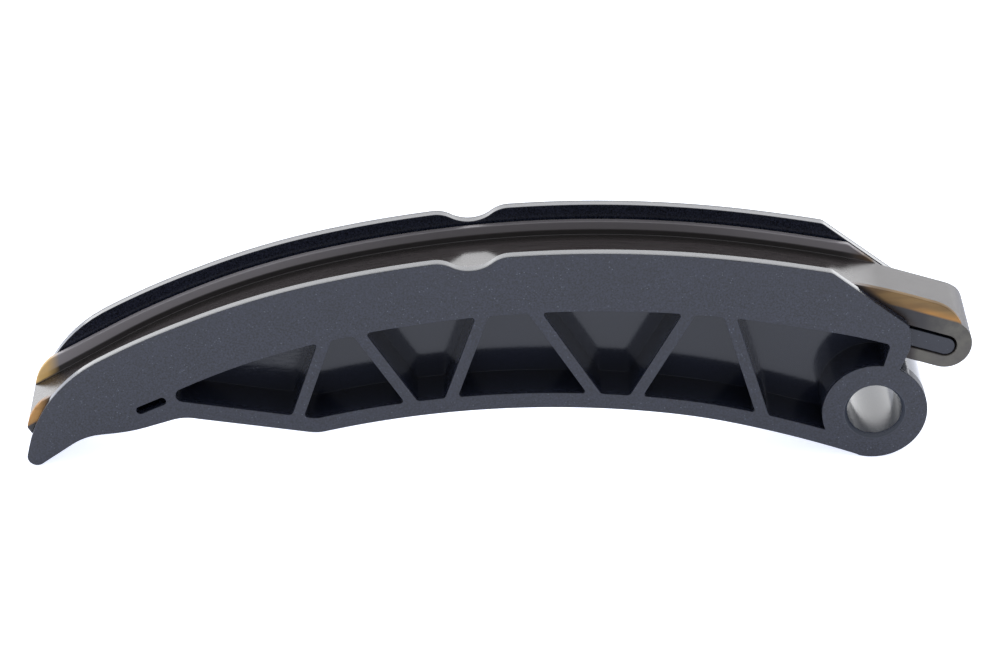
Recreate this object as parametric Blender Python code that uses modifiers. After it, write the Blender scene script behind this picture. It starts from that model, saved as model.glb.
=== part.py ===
"""Timing chain guide: a ribbed carrier beam with a slide liner clipped in its channel.

The guide lies along X with its nose at -X and its pivot boss at +X. The chain runs over the
top, between the side walls, and Y is the pivot's axis. It stands on the nose tip and the boss.

Lengths are metres. A station is a distance along the running surface from its crest, less than
zero towards the nose, and a height is measured square to that surface.
"""
import math

import bmesh
import bpy
from mathutils import Vector

MM = 0.001
DEGREE = math.pi / 180

# Running surface of the liner: tangent arcs that fall away from the crest on both sides
CREST_X = 22.3 * MM
CREST_HEIGHT = 51.9 * MM
MAIN_RADIUS = 284.8 * MM
MAIN_NOSE_LENGTH = 66.1 * MM
MAIN_PIVOT_LENGTH = 39.9 * MM
NOSE_RADIUS = 192.7 * MM
NOSE_LENGTH = 57.5 * MM
NOSE_STRAIGHT = 26.1 * MM
PIVOT_RADIUS = 420.0 * MM
PIVOT_LENGTH = 26.4 * MM
HOOK_RADIUS = 150.0 * MM
HOOK_LENGTH = 15.1 * MM
HOOK_STRAIGHT = 12.2 * MM

# Carrier across the guide
CARRIER_WIDTH = 28.8 * MM
WALL_THICKNESS = 2.5 * MM
WEB_THICKNESS = 5.0 * MM

# Side walls of the carrier
WALL_HEIGHT = 7.35 * MM
WALL_NOSE_HEIGHT = 7.85 * MM
WALL_RISE_LENGTH = 25.0 * MM
WALL_END_STATION = 59.4 * MM
WALL_END_SLOPE = 37.6 * DEGREE
WALL_END_ROUND = 3.0 * MM
NOTCH_STATION = -28.05 * MM
NOTCH_FLOOR = 4.35 * MM
NOTCH_RADIUS = 9.2 * MM
NOTCH_SHOULDER = 7.5 * MM

# Nose of the carrier
NOSE_TIP = (-116.65 * MM, 2.65 * MM)
NOSE_TIP_ROUND = 2.4 * MM
NOSE_FRONT_SLOPE = 77.0 * DEGREE
NOSE_FRONT_ROUND = 38.0 * MM

# Underside of the carrier: straight runs from the nose to the knee, then the arch
HEEL = (-104.2 * MM, 8.55 * MM)
HEEL_ROUND = 15.0 * MM
BELLY = (-92.4 * MM, 9.8 * MM)
BELLY_ROUND = 40.0 * MM
HOLLOW = (-79.1 * MM, 14.0 * MM)
HOLLOW_ROUND = 12.0 * MM
ARCH_X = 11.2 * MM
ARCH_HEIGHT = 15.6 * MM
ARCH_RADIUS = 240.0 * MM
ARCH_NOSE_LENGTH = 55.3 * MM
KNEE_RADIUS = 10.0 * MM
KNEE_LENGTH = 3.8 * MM
KNEE_RUN = 28.0 * MM
ARCH_PIVOT_LENGTH = 33.1 * MM
SHOULDER_RADIUS = 158.0 * MM
SHOULDER_LENGTH = 16.0 * MM
FOOT_RADIUS = 280.0 * MM
FOOT_LENGTH = 32.4 * MM

# Pivot boss
BOSS_X = 95.0 * MM
BOSS_RADIUS = 13.3 * MM
BORE_DIAMETER = 13.9 * MM
CHAMFER_WIDTH = 0.8 * MM
CHAMFER_DEPTH = 1.2 * MM

# Cheeks that close the pivot end between the walls and the boss
CHEEK_REACH = 8.1 * MM
CHEEK_FACE = 6.0 * MM
CHEEK_ROUND = 4.5 * MM
CHEEK_FOOT_ANGLE = 64.5 * DEGREE

# Truss pockets: the ribs stand between a ceiling under the deck and a flange along the underside
CEILING_DEPTH = 8.8 * MM
LAST_CEILING_DEPTH = 9.2 * MM
FLANGE_THICKNESS = 4.22 * MM
RIB_THICKNESS = 2.95 * MM
RIB_TOPS = (-41.5 * MM, -36.2 * MM, -4.4 * MM, 11.1 * MM, 46.5 * MM, 58.1 * MM)
RIB_FEET = (-48.9 * MM, -22.0 * MM, -11.9 * MM, 25.1 * MM, 34.4 * MM, 65.0 * MM)
RIB_TOP_HEIGHT = 40.0 * MM
RIB_FOOT_HEIGHT = 18.0 * MM
POCKET_ROUND = 1.3 * MM
FIRST_POCKET_TIP = (-80.7 * MM, 18.65 * MM)
FIRST_POCKET_SLOPE = 8.9 * DEGREE
FIRST_POCKET_ROUND = 1.85 * MM
LAST_POCKET_WALL = 6.6 * MM
LAST_POCKET_LEAN = 14.0 * DEGREE
SLOT_START = (-89.8 * MM, 16.05 * MM)
SLOT_END = (-84.3 * MM, 18.55 * MM)
SLOT_WIDTH = 2.1 * MM

# Slide liner
SEAT_GAP = 0.3 * MM
SIDE_CLEARANCE = 0.5 * MM
LINER_NOSE_THICKNESS = 2.1 * MM
LINER_HOOK_THICKNESS = 4.1 * MM
LIP_THICKNESS = 1.6 * MM
LIP_HEIGHT = 3.7 * MM
LIP_NOSE_HEIGHT = 4.5 * MM
LIP_RISE_LENGTH = 45.0 * MM
LIP_NOSE_ROUND = 12.0 * MM
LIP_NOSE_LEAN = 3.8 * MM
LIP_HOOK_ROUND = 11.0 * MM
LIP_HOOK_SETBACK = 1.7 * MM
LIP_HOOK_SLOPE = 50.6 * DEGREE
LIP_ROOT = 0.8 * MM
LIP_SETBACK = 0.05 * MM
TRIM_MARGIN = 0.1 * MM
FAR_EDGE_STEP = 0.9 * MM

# Hook of the liner and the tongue of the carrier inside it
HOOK_OUTER_RADIUS = 6.6 * MM
HOOK_ARM_THICKNESS = 3.3 * MM
HOOK_ARM_LENGTH = 9.4 * MM
TONGUE_TOP_CLEARANCE = 0.9 * MM
TONGUE_FOOT_CLEARANCE = 0.3 * MM
TONGUE_TIP_CLEARANCE = 0.4 * MM
TONGUE_SIDE_CLEARANCE = 0.9 * MM
TONGUE_ROOT_LENGTH = 12.0 * MM
ARM_POCKET_CLEARANCE = 0.5 * MM
ARM_POCKET_END_CLEARANCE = 1.0 * MM

# How finely the curves are faceted
TRACK_STEP = 3.0 * MM
ROUND_STEP = 10.0 * DEGREE
CUT_MARGIN = 8.0 * MM
WELD_DISTANCE = 0.001 * MM

# Values worked out from the sizes above
HALF_WIDTH = CARRIER_WIDTH / 2
CHEEK_X = BOSS_X + CHEEK_REACH
CHANNEL_HALF = HALF_WIDTH - WALL_THICKNESS
LINER_HALF = CHANNEL_HALF - SIDE_CLEARANCE
LIP_INNER = LINER_HALF - LIP_THICKNESS
TONGUE_HALF = CHANNEL_HALF - TONGUE_SIDE_CLEARANCE
NOSE_END = -(MAIN_NOSE_LENGTH + NOSE_LENGTH + NOSE_STRAIGHT)
WALL_NOSE_END = -(MAIN_NOSE_LENGTH + NOSE_LENGTH)
HOOK_STATION = MAIN_PIVOT_LENGTH + PIVOT_LENGTH + HOOK_LENGTH + HOOK_STRAIGHT
HOOK_ROOM = 2 * HOOK_OUTER_RADIUS - LINER_HOOK_THICKNESS - HOOK_ARM_THICKNESS
HOOK_INNER_RADIUS = HOOK_ROOM / 2
HOOK_ROOM_MIDDLE = -LINER_HOOK_THICKNESS - HOOK_INNER_RADIUS
TONGUE_RADIUS = (HOOK_ROOM - TONGUE_TOP_CLEARANCE - TONGUE_FOOT_CLEARANCE) / 2
TONGUE_MIDDLE = -LINER_HOOK_THICKNESS - TONGUE_TOP_CLEARANCE - TONGUE_RADIUS


def fall(legs, distance):
    """Run, drop and slope after a distance along tangent arcs that start level."""
    run = 0.0
    drop = 0.0
    slope = 0.0
    for length, radius in legs:
        step = min(distance, length)
        distance -= step
        if math.isinf(radius):
            run += step * math.cos(slope)
            drop += step * math.sin(slope)
        else:
            turned = slope + step / radius
            run += radius * (math.sin(turned) - math.sin(slope))
            drop += radius * (math.cos(slope) - math.cos(turned))
            slope = turned
    run += distance * math.cos(slope)
    drop += distance * math.sin(slope)
    return run, drop, slope


class Path:
    """A crest with tangent arcs that fall away from it on both sides."""

    def __init__(self, x, z, nose_legs, pivot_legs):
        self.crest = Vector((x, z))
        self.nose_legs = nose_legs
        self.pivot_legs = pivot_legs
        self.start = -sum(length for length, radius in nose_legs)
        self.end = sum(length for length, radius in pivot_legs)

    def at(self, station, height=0.0):
        """Point at a height square to the path."""
        side = math.copysign(1.0, station)
        legs = self.pivot_legs if station > 0 else self.nose_legs
        run, drop, slope = fall(legs, abs(station))
        across = Vector((side * math.sin(slope), math.cos(slope)))
        return self.crest + Vector((side * run, -drop)) + across * height

    def stations(self, first, last):
        """Stations between two, with every joint of the arcs and closer steps on tight arcs."""
        joints = [(0.0, 0.0, math.inf)]
        for side, legs in ((-1, self.nose_legs), (1, self.pivot_legs)):
            reached = 0.0
            for length, radius in legs:
                joints.append((side * reached, side * (reached + length), abs(radius)))
                reached += length
            joints.append((side * reached, side * (reached + 1.0), math.inf))
        low, high = min(first, last), max(first, last)
        found = set()
        for one, other, radius in joints:
            start, end = max(low, min(one, other)), min(high, max(one, other))
            if end - start > WELD_DISTANCE:
                found.update(steps_between(start, end, min(TRACK_STEP, radius * ROUND_STEP)))
        return sorted(found, reverse=last < first)

    def run(self, first, last, height=0.0):
        """Points from one station to another at a height, which may vary with the station."""
        level = height if callable(height) else lambda station: height
        return [self.at(station, level(station)) for station in self.stations(first, last)]


def steps_between(first, last, step):
    """Evenly spaced values from the first to the last, both included."""
    count = max(1, math.ceil(abs(last - first) / step - 0.001))
    return [first + (last - first) * i / count for i in range(count)] + [last]


TRACK = Path(
    CREST_X,
    CREST_HEIGHT,
    ((MAIN_NOSE_LENGTH, MAIN_RADIUS), (NOSE_LENGTH, NOSE_RADIUS), (NOSE_STRAIGHT, math.inf)),
    (
        (MAIN_PIVOT_LENGTH, MAIN_RADIUS),
        (PIVOT_LENGTH, PIVOT_RADIUS),
        (HOOK_LENGTH, HOOK_RADIUS),
        (HOOK_STRAIGHT, math.inf),
    ),
)
ARCH = Path(
    ARCH_X,
    ARCH_HEIGHT,
    ((ARCH_NOSE_LENGTH, ARCH_RADIUS), (KNEE_LENGTH, -KNEE_RADIUS), (KNEE_RUN, math.inf)),
    (
        (ARCH_PIVOT_LENGTH, ARCH_RADIUS),
        (SHOULDER_LENGTH, SHOULDER_RADIUS),
        (FOOT_LENGTH, FOOT_RADIUS),
    ),
)


def arc(centre, radius, start, end):
    """Points on a circle between two angles, measured from +X towards +Z."""
    return [
        Vector((centre[0] + radius * math.cos(angle), centre[1] + radius * math.sin(angle)))
        for angle in steps_between(start, end, ROUND_STEP)
    ]


def rounded(before, corner, after, radius):
    """A corner between two straight runs, rounded by a tangent arc."""
    to_before = (before - corner).normalized()
    to_after = (after - corner).normalized()
    half = to_before.angle(to_after) / 2
    longest = min((before - corner).length, (after - corner).length)
    radius = min(radius, longest * math.tan(half))
    centre = corner + (to_before + to_after).normalized() * radius / math.sin(half)
    start = corner + to_before * radius / math.tan(half) - centre
    end = corner + to_after * radius / math.tan(half) - centre
    turn = start.angle_signed(end)
    count = max(1, math.ceil(abs(turn) / ROUND_STEP))
    first = math.atan2(start.y, start.x)
    angles = [first - turn * i / count for i in range(count + 1)]
    return [centre + radius * Vector((math.cos(angle), math.sin(angle))) for angle in angles]


def rounded_outline(corners):
    """A closed outline of corners, each given with the radius that rounds it."""
    outline = []
    for i, (corner, radius) in enumerate(corners):
        before = corners[i - 1][0]
        after = corners[(i + 1) % len(corners)][0]
        outline += rounded(before, corner, after, radius) if radius else [corner]
    return outline


def crossing(point, heading, other, other_heading):
    """Where two lines meet, each given by a point and the angle it climbs at."""
    direction = Vector((math.cos(heading), math.sin(heading)))
    across = Vector((math.cos(other_heading), math.sin(other_heading)))
    gap = Vector(other) - Vector(point)
    reach = gap.cross(across) / direction.cross(across)
    return Vector(point) + direction * reach


def meets(path, height, start, direction, first, last):
    """Station where a path at a height crosses a line, found by halving."""
    def side(station):
        return direction.cross(path.at(station, height) - start)

    low, high = first, last
    low_side = side(low)
    for _ in range(40):
        middle = (low + high) / 2
        if side(middle) * low_side > 0:
            low = middle
        else:
            high = middle
    return (low + high) / 2


def liner_thickness(station):
    """The liner is thin at the nose and thickens evenly towards its hook."""
    share = (station - NOSE_END) / (MAIN_PIVOT_LENGTH + PIVOT_LENGTH - NOSE_END)
    return LINER_NOSE_THICKNESS + (LINER_HOOK_THICKNESS - LINER_NOSE_THICKNESS) * min(1.0, share)


def lip_height(station):
    """The lips stand a little taller where they run out past the nose."""
    share = (NOSE_END + LIP_RISE_LENGTH - station) / LIP_RISE_LENGTH
    return LIP_HEIGHT + (LIP_NOSE_HEIGHT - LIP_HEIGHT) * min(1.0, max(0.0, share))


def wall_height(station):
    """The side walls stand a little taller where they run out to the nose."""
    share = (WALL_NOSE_END + WALL_RISE_LENGTH - station) / WALL_RISE_LENGTH
    return WALL_HEIGHT + (WALL_NOSE_HEIGHT - WALL_HEIGHT) * min(1.0, max(0.0, share))


def collection(name):
    """A new collection in the scene."""
    made = bpy.data.collections.new(name)
    bpy.context.scene.collection.children.link(made)
    return made


def material(name, color, roughness):
    """A plain plastic."""
    made = bpy.data.materials.new(name)
    made.use_nodes = True
    shader = made.node_tree.nodes["Principled BSDF"]
    shader.inputs["Base Color"].default_value = color
    shader.inputs["Roughness"].default_value = roughness
    shader.inputs["Metallic"].default_value = 0.0
    return made


def prism(name, outlines, low, high, home):
    """A solid of side-view outlines, from one Y to another."""
    curve = bpy.data.curves.new(name, "CURVE")
    curve.dimensions = "2D"
    curve.fill_mode = "BOTH"
    curve.extrude = (high - low) / 2
    for outline in outlines:
        spline = curve.splines.new("POLY")
        spline.points.add(len(outline) - 1)
        for point, place in zip(spline.points, outline):
            point.co = (place[0], place[1], 0.0, 1.0)
        spline.use_cyclic_u = True
    drawn = bpy.data.objects.new(name, curve)
    drawn.rotation_euler = (math.pi / 2, 0.0, 0.0)
    drawn.location = (0.0, (low + high) / 2, 0.0)
    home.objects.link(drawn)
    bpy.context.view_layer.update()
    seen = drawn.evaluated_get(bpy.context.evaluated_depsgraph_get())
    mesh = bpy.data.meshes.new_from_object(seen)
    work = bmesh.new()
    work.from_mesh(mesh)
    bmesh.ops.remove_doubles(work, verts=work.verts, dist=WELD_DISTANCE)
    bmesh.ops.recalc_face_normals(work, faces=work.faces)
    work.to_mesh(mesh)
    work.free()
    solid = bpy.data.objects.new(name, mesh)
    solid.matrix_world = drawn.matrix_world.copy()
    bpy.data.objects.remove(drawn)
    solid.name = name
    home.objects.link(solid)
    return solid


def combine(target, tool, operation):
    """Cut a tool out of a piece, or join it on, and keep the tool as a wire guide."""
    tool.hide_render = True
    tool.display_type = "WIRE"
    change = target.modifiers.new(tool.name, "BOOLEAN")
    change.operation = operation
    change.solver = "EXACT"
    change.object = tool


def notch_edge():
    """The round notch in a wall's top: the stations of its shoulders, and its points."""
    high = MAIN_RADIUS + NOTCH_FLOOR + NOTCH_RADIUS
    low = MAIN_RADIUS + WALL_HEIGHT - NOTCH_SHOULDER
    join = NOTCH_RADIUS + NOTCH_SHOULDER
    half = math.acos((high ** 2 + low ** 2 - join ** 2) / (2 * high * low)) * MAIN_RADIUS
    centre = TRACK.at(NOTCH_STATION, NOTCH_FLOOR + NOTCH_RADIUS)
    ends = (NOTCH_STATION + half, NOTCH_STATION - half)
    turns = [TRACK.at(end, WALL_HEIGHT - NOTCH_SHOULDER) for end in ends]
    leans = [math.atan2(centre.y - turn.y, centre.x - turn.x) for turn in turns]
    ups = [math.pi / 2 - end / MAIN_RADIUS for end in ends]
    edge = arc(turns[0], NOTCH_SHOULDER, ups[0], leans[0])
    edge += arc(centre, NOTCH_RADIUS, leans[0] - math.pi, leans[1] - math.pi)[1:]
    edge += arc(turns[1], NOTCH_SHOULDER, leans[1], ups[1])[1:]
    return ends, edge


def nose_tip_turn():
    """The round tip of the nose, from its front to its underside."""
    gap = Vector(HEEL) - Vector(NOSE_TIP)
    climb = math.atan2(gap.y, gap.x) + math.asin(NOSE_TIP_ROUND / gap.length)
    return arc(NOSE_TIP, NOSE_TIP_ROUND, math.pi / 2 + NOSE_FRONT_SLOPE, 1.5 * math.pi + climb)


def carrier_outline():
    """Side view of the carrier, without the tongue, the pockets and the channel."""
    boss = (BOSS_X, BOSS_RADIUS)
    arch_end = ARCH.at(ARCH.end)
    boss_start = math.atan2(arch_end.y - boss[1], arch_end.x - boss[0])
    boss_turn = arc(boss, BOSS_RADIUS, boss_start, -math.pi / 2)
    boss_turn += arc(boss, BOSS_RADIUS, -math.pi / 2, CHEEK_FOOT_ANGLE)[1:]

    wall_end = TRACK.at(WALL_END_STATION, WALL_HEIGHT)
    cheek_top = crossing(wall_end, -WALL_END_SLOPE, (CHEEK_X, 0.0), math.pi / 2)
    cheek_low = cheek_top - Vector((0.0, CHEEK_FACE))
    shoulders, notch = notch_edge()
    wall_top = TRACK.run(WALL_END_STATION, shoulders[0], WALL_HEIGHT)[:-1] + notch
    wall_top += TRACK.run(shoulders[1], WALL_NOSE_END, wall_height)[1:]

    tip = nose_tip_turn()
    nose_slope = fall(TRACK.nose_legs, -NOSE_END)[2]
    front = crossing(wall_top[-1], nose_slope, tip[0], NOSE_FRONT_SLOPE)

    outline = ARCH.run(ARCH.start, ARCH.end)
    outline += boss_turn[1:]
    outline += rounded(boss_turn[-1], cheek_low, cheek_top, CHEEK_ROUND)
    outline += rounded(cheek_low, cheek_top, wall_end, CHEEK_ROUND)
    outline += rounded(cheek_top, wall_end, wall_top[1], WALL_END_ROUND)
    outline += wall_top[1:-1]
    outline += rounded(wall_top[-1], front, tip[0], NOSE_FRONT_ROUND)
    outline += tip
    outline += rounded(tip[-1], Vector(HEEL), Vector(BELLY), HEEL_ROUND)
    outline += rounded(Vector(HEEL), Vector(BELLY), Vector(HOLLOW), BELLY_ROUND)
    outline += rounded(Vector(BELLY), Vector(HOLLOW), outline[0], HOLLOW_ROUND)
    return outline


def channel_outline():
    """What is cleared between the walls: the liner's seat and the room for its hook's arm."""
    root = HOOK_STATION - HOOK_ARM_LENGTH - ARM_POCKET_END_CLEARANCE
    arm_floor = -2 * HOOK_OUTER_RADIUS - ARM_POCKET_CLEARANCE
    beyond = HOOK_STATION + HOOK_OUTER_RADIUS + CUT_MARGIN
    sky = WALL_HEIGHT + CUT_MARGIN
    outline = TRACK.run(NOSE_END - CUT_MARGIN, root, lambda s: -liner_thickness(s) - SEAT_GAP)
    outline += [TRACK.at(root, arm_floor), TRACK.at(beyond, arm_floor), TRACK.at(beyond, sky)]
    outline += TRACK.run(HOOK_STATION, NOSE_END - CUT_MARGIN, sky)
    return outline


def tongue_outline():
    """The tongue that the liner hooks round, with a round end."""
    end = HOOK_STATION + HOOK_INNER_RADIUS - TONGUE_RADIUS - TONGUE_TIP_CLEARANCE
    start = HOOK_STATION - HOOK_ARM_LENGTH - TONGUE_ROOT_LENGTH
    slope = fall(TRACK.pivot_legs, HOOK_STATION)[2]
    top = TRACK.run(start, end, TONGUE_MIDDLE + TONGUE_RADIUS)
    bottom = TRACK.run(end, start, TONGUE_MIDDLE - TONGUE_RADIUS)
    up = math.pi / 2 - slope
    turn = arc(TRACK.at(end, TONGUE_MIDDLE), TONGUE_RADIUS, up, up - math.pi)
    return top[:-1] + turn + bottom[1:]


def rib_line(index):
    """A rib's middle line: a point on it and its direction upwards."""
    foot = Vector((RIB_FEET[index], RIB_FOOT_HEIGHT))
    top = Vector((RIB_TOPS[index], RIB_TOP_HEIGHT))
    return foot, (top - foot).normalized()


def rib_side(index, side):
    """One flank of a rib: -1 faces the nose and +1 faces the pivot."""
    foot, direction = rib_line(index)
    out = Vector((direction.y, -direction.x))
    return foot + out * side * RIB_THICKNESS / 2, direction


def pocket_between(index):
    """A pocket between two ribs."""
    left, left_rise = rib_side(index, 1)
    right, right_rise = rib_side(index + 1, -1)
    first = meets(TRACK, -CEILING_DEPTH, left, left_rise, WALL_NOSE_END, HOOK_STATION)
    last = meets(TRACK, -CEILING_DEPTH, right, right_rise, WALL_NOSE_END, HOOK_STATION)
    ceiling = TRACK.run(first, last, -CEILING_DEPTH)
    first = meets(ARCH, FLANGE_THICKNESS, left, left_rise, ARCH.start, ARCH.end)
    last = meets(ARCH, FLANGE_THICKNESS, right, right_rise, ARCH.start, ARCH.end)
    floor = ARCH.run(last, first, FLANGE_THICKNESS)
    return with_round_ends(ceiling, floor)


def with_round_ends(ceiling, floor):
    """A closed outline of two long edges whose four meeting corners are rounded."""
    corners = [(point, 0.0) for point in ceiling + floor]
    ends = (0, len(ceiling) - 1, len(ceiling), len(corners) - 1)
    for end in ends:
        corners[end] = (corners[end][0], POCKET_ROUND)
    return rounded_outline(corners)


def first_pocket():
    """The long pocket that runs out to a point towards the nose."""
    right, rise = rib_side(0, -1)
    tip = Vector(FIRST_POCKET_TIP)
    last = meets(TRACK, -CEILING_DEPTH, right, rise, WALL_NOSE_END, HOOK_STATION)
    first = meets(TRACK, -CEILING_DEPTH, tip, Vector((0.0, 1.0)), WALL_NOSE_END, last)
    ceiling = TRACK.run(first + FIRST_POCKET_ROUND, last, -CEILING_DEPTH)
    floor_heading = -FIRST_POCKET_SLOPE
    foot = crossing(tip, floor_heading, right, math.atan2(rise.y, rise.x))
    point = crossing(tip, floor_heading, ceiling[0], math.atan2(*(ceiling[1] - ceiling[0]).yx))
    corners = [(point, FIRST_POCKET_ROUND)] + [(place, 0.0) for place in ceiling[1:-1]]
    corners += [(ceiling[-1], POCKET_ROUND), (foot, POCKET_ROUND)]
    return rounded_outline(corners)


def last_pocket():
    """The pocket that wraps over the boss."""
    left, rise = rib_side(len(RIB_TOPS) - 1, 1)
    boss = Vector((BOSS_X, BOSS_RADIUS))
    wall = Vector((CHEEK_X - LAST_POCKET_WALL, CREST_HEIGHT / 2))
    wall_rise = Vector((math.sin(LAST_POCKET_LEAN), math.cos(LAST_POCKET_LEAN)))
    first = meets(TRACK, -CEILING_DEPTH, left, rise, WALL_NOSE_END, HOOK_STATION)
    wall += wall_rise * (TRACK.at(HOOK_STATION - HOOK_LENGTH, -CEILING_DEPTH).y - wall.y)
    last = meets(TRACK, -CEILING_DEPTH, wall, wall_rise, first, HOOK_STATION)
    deepening = (LAST_CEILING_DEPTH - CEILING_DEPTH) / (last - first)
    ceiling = TRACK.run(first, last, lambda s: -CEILING_DEPTH - deepening * (s - first))

    gap = boss - ceiling[-1]
    along_wall = -gap.dot(-wall_rise)
    across = abs(gap.cross(wall_rise))
    reach = -along_wall - math.sqrt(BOSS_RADIUS ** 2 - across ** 2)
    boss_top = ceiling[-1] - wall_rise * reach
    top_angle = math.atan2(boss_top.y - boss.y, boss_top.x - boss.x)

    def boss_side(station):
        return (ARCH.at(station, FLANGE_THICKNESS) - boss).length - BOSS_RADIUS

    low, high = 0.0, ARCH.end
    for _ in range(40):
        middle = (low + high) / 2
        low, high = (middle, high) if boss_side(middle) > 0 else (low, middle)
    boss_foot = ARCH.at(low, FLANGE_THICKNESS)
    foot_angle = math.atan2(boss_foot.y - boss.y, boss_foot.x - boss.x) % (2 * math.pi)
    boss_turn = arc(boss, BOSS_RADIUS, top_angle, foot_angle)

    first = meets(ARCH, FLANGE_THICKNESS, left, rise, ARCH.start, ARCH.end)
    floor = ARCH.run(low, first, FLANGE_THICKNESS)
    corners = [(point, 0.0) for point in ceiling + boss_turn + floor[1:]]
    for end in (0, len(ceiling) - 1, len(corners) - 1):
        corners[end] = (corners[end][0], POCKET_ROUND)
    return rounded_outline(corners)


def slot_outline():
    """The small slot behind the nose, with round ends."""
    start = Vector(SLOT_START)
    end = Vector(SLOT_END)
    lean = math.atan2(end.y - start.y, end.x - start.x)
    radius = SLOT_WIDTH / 2
    turn = arc(start, radius, lean + math.pi / 2, lean + 3 * math.pi / 2)
    return turn + arc(end, radius, lean - math.pi / 2, lean + math.pi / 2)


def turned_cutter(name, profile, home):
    """A cutter turned about the pivot axis from (radius, Y) points."""
    mesh = bpy.data.meshes.new(name)
    points = [(radius, 0.0, y) for radius, y in profile]
    edges = [(i, i + 1) for i in range(len(points) - 1)]
    mesh.from_pydata(points, edges, [])
    cutter = bpy.data.objects.new(name, mesh)
    cutter.location = (BOSS_X, 0.0, BOSS_RADIUS)
    cutter.rotation_euler = (math.pi / 2, 0.0, 0.0)
    home.objects.link(cutter)
    turn = cutter.modifiers.new("turn", "SCREW")
    turn.steps = 48
    turn.render_steps = 48
    turn.use_merge_vertices = True
    turn.merge_threshold = WELD_DISTANCE
    return cutter


def bore_cutter(home):
    """The pivot bore with a chamfer at both faces."""
    bore = BORE_DIAMETER / 2
    mouth = bore + CHAMFER_WIDTH
    profile = [
        (0.0, HALF_WIDTH + CUT_MARGIN),
        (mouth, HALF_WIDTH + CUT_MARGIN),
        (mouth, HALF_WIDTH),
        (bore, HALF_WIDTH - CHAMFER_DEPTH),
        (bore, CHAMFER_DEPTH - HALF_WIDTH),
        (mouth, -HALF_WIDTH),
        (mouth, -HALF_WIDTH - CUT_MARGIN),
        (0.0, -HALF_WIDTH - CUT_MARGIN),
    ]
    return turned_cutter("bore_cutter", profile, home)


def build_carrier(home, tools):
    """The black carrier moulding."""
    carrier = prism("carrier", [carrier_outline()], -HALF_WIDTH, HALF_WIDTH, home)
    channel = prism("channel_cutter", [channel_outline()], -CHANNEL_HALF, CHANNEL_HALF, tools)
    combine(carrier, channel, "DIFFERENCE")
    tongue = prism("tongue_tool", [tongue_outline()], -TONGUE_HALF, TONGUE_HALF, tools)
    combine(carrier, tongue, "UNION")
    pockets = [first_pocket(), slot_outline(), last_pocket()]
    pockets += [pocket_between(index) for index in range(len(RIB_TOPS) - 1)]
    for name, side in (("near_pockets", -1), ("far_pockets", 1)):
        ends = sorted((side * WEB_THICKNESS / 2, side * (HALF_WIDTH + CUT_MARGIN)))
        combine(carrier, prism(name, pockets, ends[0], ends[1], tools), "DIFFERENCE")
    combine(carrier, bore_cutter(tools), "DIFFERENCE")
    carrier.data.materials.append(material("glass_filled_nylon", (0.012, 0.013, 0.016, 1.0), 0.4))
    return carrier


def liner_outline():
    """Side view of the liner's running floor and of the hook at its pivot end."""
    centre = TRACK.at(HOOK_STATION, -HOOK_OUTER_RADIUS)
    up = math.pi / 2 - fall(TRACK.pivot_legs, HOOK_STATION)[2]
    arm_end = HOOK_STATION - HOOK_ARM_LENGTH
    outline = TRACK.run(NOSE_END, HOOK_STATION, 0.0)[:-1]
    outline += arc(centre, HOOK_OUTER_RADIUS, up, up - math.pi)
    outline += [TRACK.at(arm_end, -2 * HOOK_OUTER_RADIUS)]
    outline += [TRACK.at(arm_end, HOOK_ARM_THICKNESS - 2 * HOOK_OUTER_RADIUS)]
    room = TRACK.at(HOOK_STATION, HOOK_ROOM_MIDDLE)
    outline += arc(room, HOOK_INNER_RADIUS, up - math.pi, up)
    outline += TRACK.run(HOOK_STATION, NOSE_END, lambda s: -liner_thickness(s))[1:]
    return outline


def lip_outline():
    """Side view of a side lip, which starts inside the floor and is round at both ends."""
    root = TRACK.at(NOSE_END, -LIP_ROOT)
    start = TRACK.at(NOSE_END)
    lean = TRACK.at(NOSE_END + LIP_NOSE_LEAN, LIP_NOSE_HEIGHT)
    top_start = NOSE_END + 2 * LIP_NOSE_LEAN + LIP_NOSE_HEIGHT / 2
    landing = HOOK_STATION + LIP_HOOK_SETBACK
    corner_station = landing - LIP_HEIGHT / math.tan(LIP_HOOK_SLOPE)
    reach = LIP_HOOK_ROUND * math.tan(LIP_HOOK_SLOPE / 2)
    top = TRACK.run(top_start, corner_station - reach, lip_height)
    corner = TRACK.at(corner_station, LIP_HEIGHT)
    foot = TRACK.at(landing + LIP_ROOT / math.tan(LIP_HOOK_SLOPE), -LIP_ROOT)
    outline = [root] + rounded(start, lean, top[0], LIP_NOSE_ROUND)
    outline += top
    outline += rounded(top[-1], corner, foot, LIP_HOOK_ROUND)[1:]
    outline += TRACK.run(landing, NOSE_END + TRACK_STEP, -LIP_ROOT)
    return outline


def far_edge_outline():
    """What is trimmed off the far lip: all of it past the slope where the walls end."""
    wall_end = TRACK.at(WALL_END_STATION, WALL_HEIGHT)
    rise = Vector((-math.cos(WALL_END_SLOPE), math.sin(WALL_END_SLOPE)))
    first = meets(TRACK, -FAR_EDGE_STEP, wall_end, rise, WALL_END_STATION, HOOK_STATION)
    beyond = HOOK_STATION + HOOK_OUTER_RADIUS + CUT_MARGIN
    outline = TRACK.run(first, beyond, -FAR_EDGE_STEP)
    return outline + [TRACK.at(beyond, WALL_HEIGHT), wall_end + rise * CUT_MARGIN]


def build_liner(home, tools):
    """The brown slide liner."""
    liner = prism("slide_liner", [liner_outline()], -LINER_HALF, LINER_HALF, home)
    for name, side in (("near_lip", -1), ("far_lip", 1)):
        ends = sorted((side * LIP_INNER, side * (LINER_HALF - LIP_SETBACK)))
        combine(liner, prism(name, [lip_outline()], ends[0], ends[1], tools), "UNION")
    trim = prism("far_lip_trim", [far_edge_outline()], LIP_INNER - TRIM_MARGIN, HALF_WIDTH, tools)
    combine(liner, trim, "DIFFERENCE")
    liner.data.materials.append(material("slide_nylon", (0.07, 0.04, 0.02, 1.0), 0.15))
    return liner


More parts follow.
